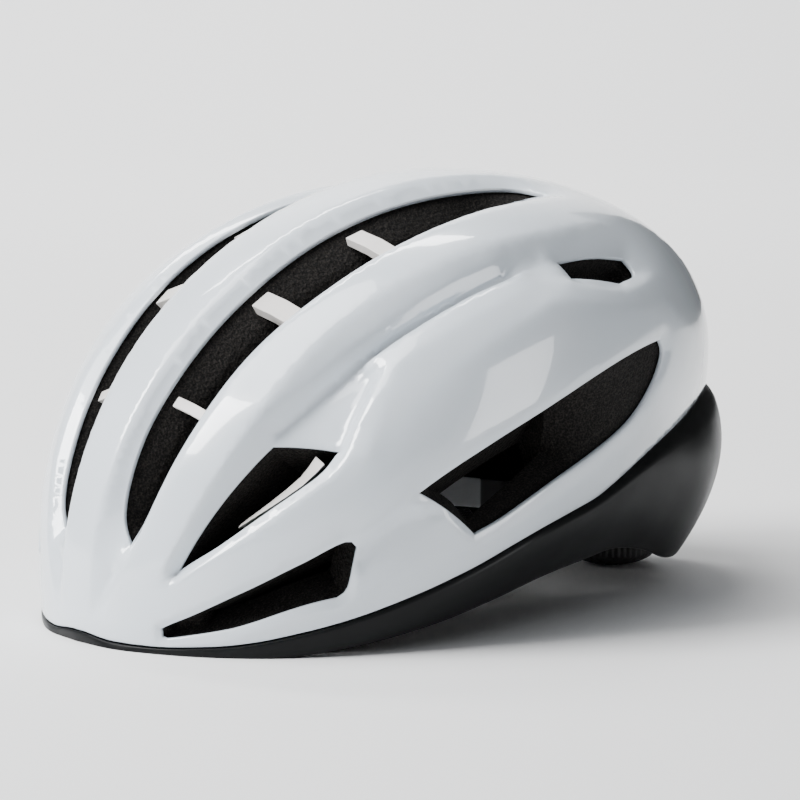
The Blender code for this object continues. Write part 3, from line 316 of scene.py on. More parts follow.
def chart_mesh(border, holes, rings, lines, dots=()):
    """Triangulate the chart inside border and outside holes; rings and lines are creases.

    dots are single points with a height.
    Returns the points, the triangles (counter-clockwise) and each point's height in mm,
    which is nan where no line gives it.
    """
    verts, edges, heights = [], [], []
    for line, is_closed in ([(border, True)] + [(h, True) for h in holes + rings]
                            + [(c, False) for c in lines]):
        first, count = len(verts), len(line)
        verts += [Vector(p[:2]) for p in line]
        heights += [p[2] for p in line]
        edges += [(first + i, first + i + 1) for i in range(count - 1)]
        if is_closed:
            edges.append((first + count - 1, first))
    for dot in dots:
        if nearest(np.array([dot[:2]]), np.array([tuple(v) for v in verts]))[0] > CLEAR * SPACING:
            verts.append(Vector(dot[:2]))
            heights.append(dot[2])
    samples = np.array([tuple(v) for v in verts])
    low, high = border[:, :2].min(axis=0), border[:, :2].max(axis=0)
    rows = np.arange(low[1], high[1], SPACING * ROW_PITCH)
    grid = [(x + (0.5 * SPACING if j % 2 else 0.0), y) for j, y in enumerate(rows)
            for x in np.arange(SPACING, high[0], SPACING)]
    grid = np.array(grid)
    grid = grid[inside(grid, border)]
    for hole in holes:
        grid = grid[~inside(grid, hole)]
    grid = grid[nearest(grid, samples) > CLEAR * SPACING]
    verts += [Vector(p) for p in grid]
    coords, _, tris, origin, *_ = delaunay_2d_cdt(verts, edges, [], 0, 1e-7)
    coords = np.array([tuple(c) for c in coords])
    tris = np.array([t for t in tris if len(t) == 3])
    given = np.full(len(coords), np.nan)
    for i, sources in enumerate(origin):
        values = [heights[s] for s in sources if s < len(heights) and heights[s] == heights[s]]
        if values:
            given[i] = values[0]
    a, b, c = (coords[tris[:, k]] for k in range(3))
    area = (b[:, 0] - a[:, 0]) * (c[:, 1] - a[:, 1]) - (b[:, 1] - a[:, 1]) * (c[:, 0] - a[:, 0])
    tris[area < 0] = tris[area < 0][:, ::-1]
    middle = (a + b + c) / 3
    keep = inside(middle, border)
    for hole in holes:
        keep &= ~inside(middle, hole)
    tris = tris[keep]
    used = np.unique(tris)
    new = np.full(len(coords), -1)
    new[used] = np.arange(len(used))
    return coords[used], new[tris], given[used]


def triangle_sides(tris):
    """The three sides of each triangle, as pairs of its corners."""
    return np.vstack([tris[:, [0, 1]], tris[:, [1, 2]], tris[:, [2, 0]]])


def links(coords, tris):
    """The mesh's edges, both ways, and a weight for each."""
    pairs = triangle_sides(tris)
    pairs = np.unique(np.sort(pairs, axis=1), axis=0)
    pairs = np.vstack([pairs, pairs[:, ::-1]])
    length = np.linalg.norm(coords[pairs[:, 0]] - coords[pairs[:, 1]], axis=1)
    weight = 1 / np.maximum(length, 1e-4)
    return pairs, weight


def blend_round(values, pairs, weight, free, rounds, share=1.0):
    """Move the free points' values towards their neighbours' mean."""
    total = np.bincount(pairs[:, 0], weight, len(values))
    for _ in range(rounds):
        mean = np.bincount(pairs[:, 0], weight * values[pairs[:, 1]], len(values)) / total
        values = np.where(free, values + share * (mean - values), values)
    return values


def relief(coords, tris, given, soften):
    """A surface stretched between the given heights, with its creases slightly rounded."""
    pairs, weight = links(coords, tris)
    free = np.isnan(given)
    start = np.where(free, np.nanmean(given), given)
    height = blend_round(start, pairs, weight, free, RELAX_ROUNDS)
    edge = rim_points(tris, len(coords))
    return blend_round(height, pairs, weight, ~edge, 1, soften)


def rim_edges(tris):
    """Directed edges with a triangle on one side only."""
    pairs = triangle_sides(tris)
    key = {tuple(p) for p in pairs.tolist()}
    return [p for p in key if (p[1], p[0]) not in key]


def rim_points(tris, count):
    flag = np.zeros(count, dtype=bool)
    for a, b in rim_edges(tris):
        flag[a] = flag[b] = True
    return flag


# ---------------------------------------------------------------- meshes
def new_piece(name, verts, faces, finish, body, replaces=(), sharp=None):
    mesh = bpy.data.meshes.new(name)
    mesh.from_pydata([tuple(v) for v in verts], [], [tuple(f) for f in faces])
    bm = bmesh.new()
    bm.from_mesh(mesh)
    bmesh.ops.remove_doubles(bm, verts=bm.verts, dist=1e-7)
    bmesh.ops.recalc_face_normals(bm, faces=bm.faces)
    bm.to_mesh(mesh)
    bm.free()
    mesh.shade_smooth()
    if sharp:
        mesh.set_sharp_from_angle(angle=math.radians(sharp))
    obj = bpy.data.objects.new(name, mesh)
    bpy.context.scene.collection.objects.link(obj)
    mesh.materials.append(finish)
    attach(obj, body)
    if replaces:
        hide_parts(*replaces)
    return obj


def mirrored(verts, faces):
    """Both halves of a left half that meets the mirror plane."""
    verts = np.array(verts)
    middle = np.abs(verts[:, 0]) < 1e-7
    verts[middle, 0] = 0.0
    twin = np.arange(len(verts)) + len(verts)
    twin[middle] = np.arange(len(verts))[middle]
    other = verts * np.array([-1.0, 1.0, 1.0])
    turned = [[int(twin[i]) for i in f[::-1]] for f in faces]
    return np.vstack([verts, other]), list(faces) + turned


def sheet_wall(coords, tris, top, bottom, profile):
    """Close a top and a bottom surface over the same chart mesh, with a shaped rim.

    profile lists (share of the way down, bulge in metres) for the rim's inner rows.
    """
    count = len(coords)
    normal = dome_normal(coords)
    edges = [(a, b) for a, b in rim_edges(tris) if coords[a, 0] > 1e-9 or coords[b, 0] > 1e-9]
    outward = np.zeros((count, 3))
    for a, b in edges:
        out = np.cross(top[b] - top[a], normal[a] + normal[b])
        outward[a] += out
        outward[b] += out
    outward[coords[:, 0] < 1e-9, 0] = 0.0
    outward = unit(outward)
    verts = [top, bottom]
    for share, bulge in profile:
        verts.append(top * (1 - share) + bottom * share + outward * bulge)
    verts = np.vstack(verts)
    faces = tris.tolist() + (tris[:, ::-1] + count).tolist()
    rows = [0] + [2 + k for k in range(len(profile))] + [1]
    for a, b in edges:
        for high, low in zip(rows, rows[1:]):
            faces.append([b + high * count, a + high * count, a + low * count, b + low * count])
    used = np.unique(np.concatenate([np.array(f) for f in faces]))
    new = np.full(len(verts), -1)
    new[used] = np.arange(len(used))
    return mirrored(verts[used], [[int(new[i]) for i in f] for f in faces])


def lip_crests(lines):
    """Points just outside the flush vents where the shell's face turns over into their lips."""
    dots = []
    others = np.vstack([line[:, :2] for line in lines])
    for name in ("brow", "side", "exhaust", "rear"):
        line = outline(OPENINGS[name])
        crest = shrink(line, -CREST_OUT, 0.0)
        base = np.array([line[np.argmin(np.linalg.norm(line[:, :2] - p[:2], axis=1)), 2]
                         for p in crest])
        crest[:, 2] = base + CREST_RISE
        dots += [p for p in crest if nearest(p[None, :2], others)[0] > CREST_CLEAR and p[0] > 0]
    return dots


def make_upper_shell(finish):
    """The white shell: ribs, channels and vents with rolled lips."""
    border = closed_half(BELT, BELT_HEIGHT)
    holes = [outline(sides) for sides in OPENINGS.values()]
    lines = [curve(points, SPACING) for points in CREASES.values()]
    coords, tris, given = chart_mesh(border, holes, [], lines, lip_crests(lines))
    height = relief(coords, tris, given, SKIN_SOFTEN) * MM
    nose = [(0.5 - 0.5 * math.cos(math.radians(a)), 0.0004 * math.sin(math.radians(a)))
            for a in (30, 60, 90, 120, 150)]
    top, bottom = on_dome(coords, height), on_dome(coords, height - SHELL)
    verts, faces = sheet_wall(coords, tris, top, bottom, nose)
    new_piece("upper_shell_skin", verts, faces, finish, "helmet", ["upper_shell"])


def slot_edge(side, v):
    line = curve(side, 0.004)
    return line[np.argmin(np.abs(line[:, 1] - v)), 0]


def slot_hole(low, high):
    """A through-hole in the floor of the long slot."""
    inner = [(slot_edge(SLOT[0], v) + SLOT_BAND, v, SLOT_FLOOR) for v in np.linspace(high, low, 5)]
    outer = [(slot_edge(SLOT[1], v) - SLOT_LEDGE, v, SLOT_FLOOR)
             for v in np.linspace(low, high, 5)]
    return outline([inner, [inner[-1], outer[0]], outer, [outer[-1], inner[0]]])


def slot_walls(line):
    """Creases of the slot's channel: a sloped inner wall with a step, and a steep outer wall."""
    foot, step = [], []
    for v, reach in ((-0.88, 0.026), (-0.80, 0.036), (-0.70, 0.040), (-0.60, 0.040),
                     (-0.50, 0.040), (-0.40, 0.040), (-0.30, 0.038), (-0.20, 0.030),
                     (-0.12, 0.020)):
        u = slot_edge(SLOT[0], v) + reach
        foot.append((u, v, -13.0))
        step.append((u + 0.005, v, -13.4))
    walls = [curve(foot, SPACING), curve(step, SPACING),
             curve([(u + 0.004, v, -16.5) for u, v, _ in step], SPACING)]
    outer = curve(SLOT[1], SPACING)
    for distance, height in ((0.005, -10.0), (0.010, -17.0)):
        ring = shrink(line, distance, height)
        near = [nearest(p[None, :2], outer)[0] < 1.3 * distance for p in ring]
        walls.append(ring[np.array(near)][3:-3])
    return walls


def make_foam(finish):
    """The foam liner: a thick wall with channels, sloped vent walls and through-holes."""
    border = closed_half(FOAM_RIM, FOAM_RIM_HEIGHT)
    belt = curve(BELT, SPACING)
    belt = np.column_stack([belt, np.full(len(belt), FOAM_RIM_HEIGHT)])
    rings, holes, walls = [], [], []
    for name, sides in OPENINGS.items():
        line = outline(sides)
        mouth = line.copy()
        mouth[:, 2] += FOAM_UNDER + MOUTH_LIFT
        rings.append(mouth)
        if name == "slot":
            walls += slot_walls(line)
            holes += [slot_hole(*span) for span in SLOT_HOLES]
        elif name == "side":
            holes.append(outline(SIDE_HOLE))
        elif name == "rear":
            rings.append(shrink(line, 0.008, -13.0))
        elif name == "brow":
            rings.append(shrink(line, 0.014, -9.0))
            holes.append(shrink(line, 0.034, -18.0))
        else:
            holes.append(shrink(line, 0.012, line[:, 2].min() - 9.0))
    lines = [belt] + walls
    for points in CREASES.values():
        line = curve(points, SPACING)
        line[:, 2] += FOAM_UNDER
        lines.append(line)
    coords, tris, given = chart_mesh(border, holes, rings, lines)
    height = relief(coords, tris, given, FOAM_SOFTEN) * MM
    top = on_dome(coords, height)
    bottom = in_cavity(coords)
    rows = [(k / 5, 0.0) for k in range(1, 5)]
    verts, faces = sheet_wall(coords, tris, top, bottom, rows)
    new_piece("foam_body", verts, faces, finish, "helmet", ["foam_liner"], sharp=35)


def lower_skin(columns, rows, inset=0.0, start=0.0, stop=1.0, dip=0.0):
    """The lower shell's surface as columns from the belt down to the rim, front to back."""
    belt = curve(BELT, 0.01)
    belt = on_dome(belt, np.zeros(len(belt)))
    rim = curve(RIM, 0.002) + np.array([0.0, FRAME_Y, 0.0])

    def spread(line):
        steps = np.concatenate([[0.0], np.cumsum(np.linalg.norm(np.diff(line, axis=0), axis=1))])
        want = np.linspace(0, steps[-1], columns + 1)
        return np.column_stack([np.interp(want, steps, line[:, k]) for k in range(3)])

    belt, rim = spread(belt), spread(rim)
    grid = []
    for i in range(int(start * columns), columns + 1):
        upper, lower = belt[i] - np.array([0.0, 0.0, 0.0009]), rim[i]
        ahead = belt[min(i + 1, columns)] - belt[max(i - 1, 0)]
        out = unit(np.array([[ahead[1], -ahead[0], 0.0]]))[0]
        out = out if out[0] >= 0 else -out
        if i == columns:
            out = np.array([0.0, 1.0, 0.0])
        if i == 0:
            out = np.array([0.0, -1.0, 0.0])
        drop = max(0.0, upper[2] - lower[2])
        bulge = out * (0.014 * min(1.0, drop / 0.060) ** 2 + 0.08 * drop)
        middle = upper * 0.58 + lower * 0.42 + bulge
        column = []
        for j in range(rows + 1):
            t = dip + (stop - dip) * j / rows
            p = upper * (1 - t) ** 2 + middle * 2 * t * (1 - t) + lower * t * t
            p = p - out * (inset + 0.0025 * min(1.0, drop / 0.050) * max(0.0, 1 - t * 9))
            column.append((p[0] if 0 < i < columns else 0.0, p[1], max(p[2], 0.0)))
        grid.append(column)
    return np.array(grid)


def bands(rows, count):
    """Quads between successive closed loops of points."""
    return [[i * count + k, i * count + (k + 1) % count, (i + 1) * count + (k + 1) % count,
             (i + 1) * count + k] for i in range(rows - 1) for k in range(count)]


def tube_of_columns(outer, inner, nose):
    """Left half of a wall between two grids, with round lower and upper edges, mirrored."""
    loops = []
    for a, b in zip(outer, inner):
        low, high = (a[-1] - a[-2]), (a[0] - a[1])
        low, high = low / max(np.linalg.norm(low), 1e-9), high / max(np.linalg.norm(high), 1e-9)
        loop = list(a)
        loop += [a[-1] * (1 - s) + b[-1] * s + low * nose * math.sin(math.pi * s)
                 for s in (0.2, 0.5, 0.8)]
        loop += list(b[::-1])
        loop += [b[0] * (1 - s) + a[0] * s + high * nose * 0.4 * math.sin(math.pi * s)
                 for s in (0.25, 0.75)]
        loops.append(loop)
    count = len(loops[0])
    verts = np.array(loops).reshape(-1, 3)
    verts[:, 2] = np.maximum(verts[:, 2], 0.0)
    faces = bands(len(loops), count)
    if abs(verts[0, 0]) > 1e-6:
        faces.append(list(range(count)))
    return mirrored(verts, faces)


def make_lower_shell(finish):
    outer = lower_skin(120, 22)
    inner = lower_skin(120, 22, inset=SHELL)
    verts, faces = tube_of_columns(outer, inner, 0.0005)
    new_piece("lower_shell_skin", verts, faces, finish, "helmet", ["lower_shell"])


def make_foam_tail(finish):
    span = {"start": 0.66, "stop": 0.78, "dip": 0.26}
    outer = lower_skin(90, 14, inset=SHELL + 0.0008, **span)
    inner = lower_skin(90, 14, inset=SHELL + 0.010, **span)
    verts, faces = tube_of_columns(outer, inner, 0.0012)
    new_piece("tail_foam_body", verts, faces, finish, "helmet", ["foam_tail"], sharp=50)


def loft(sections):
    """Vertices and faces of a solid through like loops of points."""
    count = len(sections[0])
    verts = np.array(sections).reshape(-1, 3)
    faces = bands(len(sections), count)
    faces.append(list(range(count))[::-1])
    faces.append([(len(sections) - 1) * count + k for k in range(count)])
    return verts, faces


# ---------------------------------------------------------------- the dial
def make_dial(finish):
    """A ribbed grip over a cross-hatched dome."""
    ribs, steps = 44, 6
    outer = [(0.0005, 0.0), (0.004, 0.00005), (0.0075, 0.0003), (0.0105, 0.0009),
             (0.0130, 0.0018), (0.0150, 0.0028), (0.0162, 0.0037)]
    outer = curve(outer, 0.0006)
    grip = [(0.0168, 0.0044, 0.2), (0.0172, 0.0049, 0.8), (DIAL_RADIUS, 0.0055, 1.0),
            (DIAL_RADIUS, 0.0068, 1.0), (DIAL_RADIUS, 0.0082, 1.0), (DIAL_RADIUS, 0.0096, 1.0),
            (0.0172, 0.0103, 0.8), (0.0166, 0.0108, 0.3), (0.0158, 0.0112, 0.0),
            (0.0120, 0.0114, 0.0), (0.0030, 0.0114, 0.0)]
    profile = [(r, z, 0.0, 1.0 if r > 0.003 else 0.0) for r, z in outer]
    profile += [(r, z, rib, 0.0) for r, z, rib in grip]
    sections = []
    for r, z, rib, hatch in profile:
        loop = []
        for k in range(ribs * steps):
            angle = 2 * math.pi * k / (ribs * steps)
            dent = 0.00075 * rib * (0.5 - 0.5 * math.cos(ribs * angle)) ** 1.5
            cross = abs(math.sin(11 * angle + 500 * r)) * abs(math.sin(11 * angle - 500 * r))
            lift = 0.00035 * hatch * (1 - min(1.0, 3.0 * cross))
            rr = r - dent
            loop.append((rr * math.cos(angle), FRAME_Y + DIAL_Y + rr * math.sin(angle),
                         max(z + lift, 0.0)))
        sections.append(loop)
    verts, faces = loft(sections)
    new_piece("dial_grip", verts, faces, finish, "dial", ["dial_knob"])


# ---------------------------------------------------------------- webbing
def make_straps(finish):
    flat = STRAP_LOW + STRAP_THICK / 2
    routes = {
        "strap_front": ([(0.0680, -0.0490, 0.0192), (0.0662, -0.0462, 0.0170),
                         (0.0620, -0.039, 0.0158), (0.0568, -0.029, flat + 0.0003),
                         (0.0532, -0.019, flat), (0.0530, -0.0106, flat)],
                        (0.33, 0.94, 0), (1.0, 0.0, 0)),
        "strap_rear": ([(0.0570, 0.0415, 0.0510), (0.0530, 0.0370, 0.0440),
                        (0.0475, 0.031, 0.0350), (0.0465, 0.0260, 0.0255),
                        (0.0487, 0.0205, 0.0188), (0.0508, 0.0148, 0.0158),
                        (0.0515, 0.0092, flat)], (-0.45, 0.89, 0), (-1.0, 0.0, 0)),
        "chin_strap": ([(0.0413, BUCKLE_Y, flat), (0.0378, BUCKLE_Y, 0.0168),
                        (0.0363, BUCKLE_Y, 0.0225), (0.0345, BUCKLE_Y, 0.0300),
                        (0.0300, BUCKLE_Y, 0.0352), (0.0255, BUCKLE_Y, 0.0325),
                        (0.0238, BUCKLE_Y, 0.0275), (0.0210, BUCKLE_Y, 0.0248),
                        (0.0155, BUCKLE_Y, 0.0240)], (0, 1, 0), (0, 1, 0)),
    }
    rim = [(-1.0, 0.0), (-0.99, 0.55), (-0.955, 0.92), (-0.90, 1.0)]
    rim += [(x, 1.0) for x in (-0.6, -0.3, 0.0, 0.3, 0.6)]
    rim += [(-x, z) for x, z in rim[3::-1]]
    section = rim + [(x, -z) for x, z in rim[-2:0:-1]]
    for name, (route, start, end) in routes.items():
        for side, word in ((1, "left"), (-1, "right")):
            path = curve(route, 0.0008)
            sections, runs, length = [], [], 0.0
            for i, p in enumerate(path):
                t = i / (len(path) - 1)
                along = path[min(i + 1, len(path) - 1)] - path[max(i - 1, 0)]
                along = along / np.linalg.norm(along)
                wide = np.array(start) * (1 - t) + np.array(end) * t
                wide = wide - along * wide.dot(along)
                wide = wide / np.linalg.norm(wide)
                thick = np.cross(along, wide)
                length += np.linalg.norm(p - path[max(i - 1, 0)])
                runs.append(length)
                rib = 1 - 0.10 * (0.5 + 0.5 * math.cos(2 * math.pi * length / 0.0016))
                sections.append([(p + wide * STRAP_WIDTH / 2 * x
                                  + thick * STRAP_THICK / 2 * z * rib) * (side, 1, 1)
                                 + (0, FRAME_Y, 0) for x, z in section])
            verts, faces = loft(sections)
            obj = new_piece("webbing_%s_%s" % (name, word), verts, faces, finish, "helmet",
                            ["%s_%s" % (name, word)])
            strap_coordinates(obj, verts, runs, section)


def strap_coordinates(obj, verts, runs, section):
    """Lay a map on a strap, in metres along and across it, for its weave."""
    table = {}
    for i, length in enumerate(runs):
        for k, (x, _) in enumerate(section):
            key = tuple(round(c, 6) for c in verts[i * len(section) + k])
            table[key] = (length, x * STRAP_WIDTH / 2)
    layer = obj.data.uv_layers.new(name="weave")
    for loop in obj.data.loops:
        key = tuple(round(c, 6) for c in obj.data.vertices[loop.vertex_index].co)
        layer.data[loop.index].uv = table.get(key, (0.0, 0.0))


# ---------------------------------------------------------------- padding
def crowned_pad(name, place, length, width, thick, finish, body, replaces, channels=0):
    """A soft pad: place(s, t, depth) maps shares along and across, and a depth, to space.

    Its sides pull in to a stitched edge, and channels are sewn across it.
    """
    along = max(12, int(length / 0.0016))
    across = max(10, int(width / 0.0013))
    top, bottom = [], []
    for i in range(along + 1):
        for j in range(across + 1):
            s, t = i / along, j / across
            edge = min(s * length, (1 - s) * length, t * width, (1 - t) * width)
            crown = 1 - max(0.0, 1 - edge / (0.30 * width)) ** 2.4
            seam = math.exp(-((edge - 0.0022) / 0.0007) ** 2)
            full = thick * (0.28 + 0.72 * crown) * (1 - 0.30 * seam)
            for c in range(1, channels + 1):
                gap = (s - c / (channels + 1)) * length
                full *= 1 - 0.42 * math.exp(-(gap / 0.0011) ** 2)
            pull = 0.06 * math.sin(math.pi * s) * (2 * t - 1) * -0.3
            edge_round = 0.5 * max(0.0, 1 - edge / 0.0008)
            top.append(place(s, t + pull * 0.15, full * (1 - 0.35 * edge_round)))
            bottom.append(place(s, t + pull * 0.15, 0.12 * full * edge_round))
    count = (along + 1) * (across + 1)
    verts = np.array(top + bottom)
    faces = []
    for i in range(along):
        for j in range(across):
            a = i * (across + 1) + j
            quad = [a, a + 1, a + across + 2, a + across + 1]
            faces.append(quad)
            faces.append([q + count for q in quad[::-1]])
    loop = list(range(across))
    loop += [i * (across + 1) + across for i in range(along)]
    loop += [along * (across + 1) + j for j in range(across, 0, -1)]
    loop += [i * (across + 1) for i in range(along, 0, -1)]
    for a, b in zip(loop, loop[1:] + loop[:1]):
        faces.append([b, a, a + count, b + count])
    obj = new_piece(name, verts, faces, finish, body, replaces)


def cavity_at(degrees, z, inset):
    a, b, c = CAVITY_RADII - inset
    k = math.sqrt(max(0.0, 1 - ((z - CAVITY_CENTRE[2]) / c) ** 2))
    angle = math.radians(degrees)
    return (a * k * math.cos(angle), FRAME_Y + CAVITY_CENTRE[1] + b * k * math.sin(angle), z)


def make_padding(finish):
    def brow(s, t, depth):
        return cavity_at(-144 + 108 * s, 0.018 + 0.024 * t, BROW_INSET + depth)

    crowned_pad("brow_padding", brow, 0.165, 0.024, 0.0059, finish, "helmet", ["brow_pad"], 6)
    a, b, c = CAVITY_RADII - PAD_INSET

    def strip(x_low, x_high, y_low, y_high):
        def place(s, t, depth):
            x = x_low + (x_high - x_low) * t
            y = y_low + (y_high - y_low) * s
            k = 1 - (x / a) ** 2 - ((y - CAVITY_CENTRE[1]) / b) ** 2
            return (x, y + FRAME_Y, CAVITY_CENTRE[2] + c * math.sqrt(k) - depth)
        return place

    crowned_pad("crown_padding", strip(-0.013, 0.013, -0.070, 0.045), 0.115, 0.026, 0.006, finish,
                "helmet", ["crown_pad"], 3)
    crowned_pad("side_padding_left", strip(0.042, 0.056, -0.050, 0.028), 0.078, 0.014, 0.006,
                finish, "helmet", ["side_pad_left"], 2)
    crowned_pad("side_padding_right", strip(-0.056, -0.042, -0.050, 0.028), 0.078, 0.014, 0.006,
                finish, "helmet", ["side_pad_right"], 2)
    for side, word in ((1, "left"), (-1, "right")):
        def nape(s, t, depth, side=side):
            angle = math.radians(90 - side * (6 + 17 * s))
            radius = 0.0531 - depth
            return (radius * math.cos(angle), FRAME_Y + BAND_CENTRE_Y + radius * math.sin(angle),
                    0.0135 + 0.0165 * t)
        crowned_pad("nape_padding_" + word, nape, 0.0165, 0.0165, 0.0060, finish, "cradle",
                    ["nape_pad_" + word])


# ---------------------------------------------------------------- materials
def shader_of(name, colour, roughness, **sockets):
    mat = bpy.data.materials.new(name)
    mat.use_nodes = True
    tree = mat.node_tree
    shader = tree.nodes["Principled BSDF"]
    shader.inputs["Base Color"].default_value = (*colour, 1.0)
    shader.inputs["Roughness"].default_value = roughness
    for key, value in sockets.items():
        shader.inputs[key.replace("_", " ")].default_value = value
    return mat, tree, shader


def node(tree, kind, **values):
    made = tree.nodes.new(kind)
    for key, value in values.items():
        if key in made.inputs:
            made.inputs[key].default_value = value
        else:
            setattr(made, key, value)
    return made


def grain(tree, shader, scale, detail, strength, distance):
    """A fine bump from noise in the piece's own space."""
    space = node(tree, "ShaderNodeTexCoord")
    noise = node(tree, "ShaderNodeTexNoise", Scale=scale, Detail=detail)
    bump = node(tree, "ShaderNodeBump", Strength=strength, Distance=distance)
    tree.links.new(space.outputs["Object"], noise.inputs["Vector"])
    tree.links.new(noise.outputs["Fac"], bump.inputs["Height"])
    tree.links.new(bump.outputs["Normal"], shader.inputs["Normal"])
    return space


def tint(tree, shader, source, low, high, dark, light):
    """Drive a colour from a texture through a two-stop ramp."""
    ramp = node(tree, "ShaderNodeValToRGB")
    ramp.color_ramp.elements[0].position = low
    ramp.color_ramp.elements[0].color = (*dark, 1.0)
    ramp.color_ramp.elements[1].position = high
    ramp.color_ramp.elements[1].color = (*light, 1.0)
    tree.links.new(source, ramp.inputs["Fac"])
    tree.links.new(ramp.outputs["Color"], shader.inputs["Base Color"])


def rough_range(tree, shader, space, scale, low, high):
    """Vary the roughness slowly over the surface, as handling does."""
    noise = node(tree, "ShaderNodeTexNoise", Scale=scale, Detail=4.0)
    spread = node(tree, "ShaderNodeMapRange")
    spread.inputs["From Min"].default_value = 0.35
    spread.inputs["From Max"].default_value = 0.65
    spread.inputs["To Min"].default_value = low
    spread.inputs["To Max"].default_value = high
    tree.links.new(space.outputs["Object"], noise.inputs["Vector"])
    tree.links.new(noise.outputs["Fac"], spread.inputs["Value"])
    tree.links.new(spread.outputs["Result"], shader.inputs["Roughness"])
    return noise


def smooth_finish(name, colour, roughness, bump, slow, rough, shades, **sockets):
    """A smooth surface: a fine bump, a slow change of roughness, and two shades of a colour."""
    mat, tree, shader = shader_of(name, colour, roughness, **sockets)
    space = grain(tree, shader, *bump)
    noise = rough_range(tree, shader, space, slow, *rough)
    tint(tree, shader, noise.outputs["Fac"], 0.3, 0.7, *shades)
    return mat


def two_texture_bump(tree, shader, place, textures, operation, strength, distance):
    """A bump from two textures, each given with its output's name, joined by an operation."""
    mix = node(tree, "ShaderNodeMath", operation=operation)
    bump = node(tree, "ShaderNodeBump", Strength=strength, Distance=distance)
    for socket, (texture, output) in zip(mix.inputs, textures):
        tree.links.new(place, texture.inputs["Vector"])
        tree.links.new(texture.outputs[output], socket)
    tree.links.new(mix.outputs["Value"], bump.inputs["Height"])
    tree.links.new(bump.outputs["Normal"], shader.inputs["Normal"])
    return mix


def white_shell():
    """Pale bluish-white lacquer with a faint orange peel."""
    return smooth_finish("white_lacquer", (0.72, 0.78, 0.84), 0.22, (900.0, 2.0, 0.05, 0.0002),
                         25.0, (0.18, 0.27), ((0.70, 0.765, 0.825), (0.73, 0.79, 0.85)),
                         Coat_Weight=1.0, Coat_Roughness=0.035, Coat_IOR=1.5)


def charcoal_shell():
    """Dark satin lacquer."""
    return smooth_finish("charcoal_lacquer", (0.007, 0.0075, 0.008), 0.40,
                         (1400.0, 3.0, 0.10, 0.0002), 30.0, (0.30, 0.40),
                         ((0.006, 0.0065, 0.007), (0.008, 0.0085, 0.009)),
                         Coat_Weight=0.04, Coat_Roughness=0.14, Specular_IOR_Level=0.10)


def foam_beads():
    """Expanded foam: fused beads with a fine brown-grey speckle."""
    mat, tree, shader = shader_of("black_foam", (0.008, 0.007, 0.006), 0.88,
                                  Specular_IOR_Level=0.2)
    space = node(tree, "ShaderNodeTexCoord")
    beads = node(tree, "ShaderNodeTexVoronoi", Scale=620.0)
    specks = node(tree, "ShaderNodeTexNoise", Scale=1500.0, Detail=3.0)
    two_texture_bump(tree, shader, space.outputs["Object"],
                     ((beads, "Distance"), (specks, "Fac")), 'ADD', 0.85, 0.0006)
    tint(tree, shader, specks.outputs["Fac"], 0.42, 0.74, (0.002, 0.002, 0.002),
         (0.027, 0.023, 0.020))
    return mat


def fin_plastic():
    return smooth_finish("warm_white_plastic", (0.70, 0.67, 0.64), 0.35,
                         (1800.0, 3.0, 0.12, 0.0002), 60.0, (0.30, 0.42),
                         ((0.67, 0.64, 0.61), (0.72, 0.69, 0.66)))


def grey_nylon():
    """Pale arm, coloured near-black behind ARM_BLACK_FROM in y, where it shows under the tail."""
    mat, tree, shader = shader_of("grey_nylon", (0.50, 0.52, 0.54), 0.4)
    space = grain(tree, shader, 2000.0, 3.0, 0.12, 0.0002)
    rough_range(tree, shader, space, 60.0, 0.34, 0.46)
    split = node(tree, "ShaderNodeSeparateXYZ")
    fall = node(tree, "ShaderNodeMapRange")
    fall.inputs["From Min"].default_value = ARM_BLACK_FROM
    fall.inputs["From Max"].default_value = ARM_BLACK_FROM + 0.0005
    tree.links.new(space.outputs["Object"], split.inputs["Vector"])
    tree.links.new(split.outputs["Y"], fall.inputs["Value"])
    tint(tree, shader, fall.outputs["Result"], 0.0, 1.0, (0.50, 0.52, 0.54),
         (0.016, 0.016, 0.017))
    return mat


def black_plastic(name, roughness, strength):
    """Moulded plastic or rubber with spark-eroded grain."""
    return smooth_finish(name, (0.016, 0.016, 0.017), roughness, (2600.0, 4.0, strength, 0.0003),
                         80.0, (roughness - 0.06, roughness + 0.06),
                         ((0.013, 0.013, 0.014), (0.021, 0.021, 0.022)))


def pad_fabric():
    """Brushed knit over the pads, with a fine mesh of stitches."""
    mat, tree, shader = shader_of("pad_knit", (0.022, 0.022, 0.024), 0.92, Sheen_Weight=0.4,
                                  Sheen_Roughness=0.5)
    space = node(tree, "ShaderNodeTexCoord")
    cells = node(tree, "ShaderNodeTexVoronoi", Scale=1100.0)
    fuzz = node(tree, "ShaderNodeTexNoise", Scale=3000.0, Detail=3.0)
    two_texture_bump(tree, shader, space.outputs["Object"],
                     ((cells, "Distance"), (fuzz, "Fac")), 'ADD', 0.7, 0.0005)
    tint(tree, shader, cells.outputs["Distance"], 0.05, 0.6, (0.010, 0.010, 0.011),
         (0.034, 0.034, 0.037))
    return mat


def webbing():
    """Woven polyester tape: ribs along and across, shaded light and dark."""
    mat, tree, shader = shader_of("woven_webbing", (0.016, 0.016, 0.017), 0.78, Sheen_Weight=0.25,
                                  Sheen_Roughness=0.4)
    place = node(tree, "ShaderNodeUVMap", uv_map="weave")
    along = node(tree, "ShaderNodeTexWave", Scale=320.0, bands_direction='X')
    across = node(tree, "ShaderNodeTexWave", Scale=420.0, bands_direction='Y')
    mix = two_texture_bump(tree, shader, place.outputs["UV"],
                           ((along, "Fac"), (across, "Fac")), 'MULTIPLY', 0.8, 0.0003)
    tint(tree, shader, mix.outputs["Value"], 0.0, 1.0, (0.008, 0.008, 0.009),
         (0.026, 0.026, 0.028))
    return mat


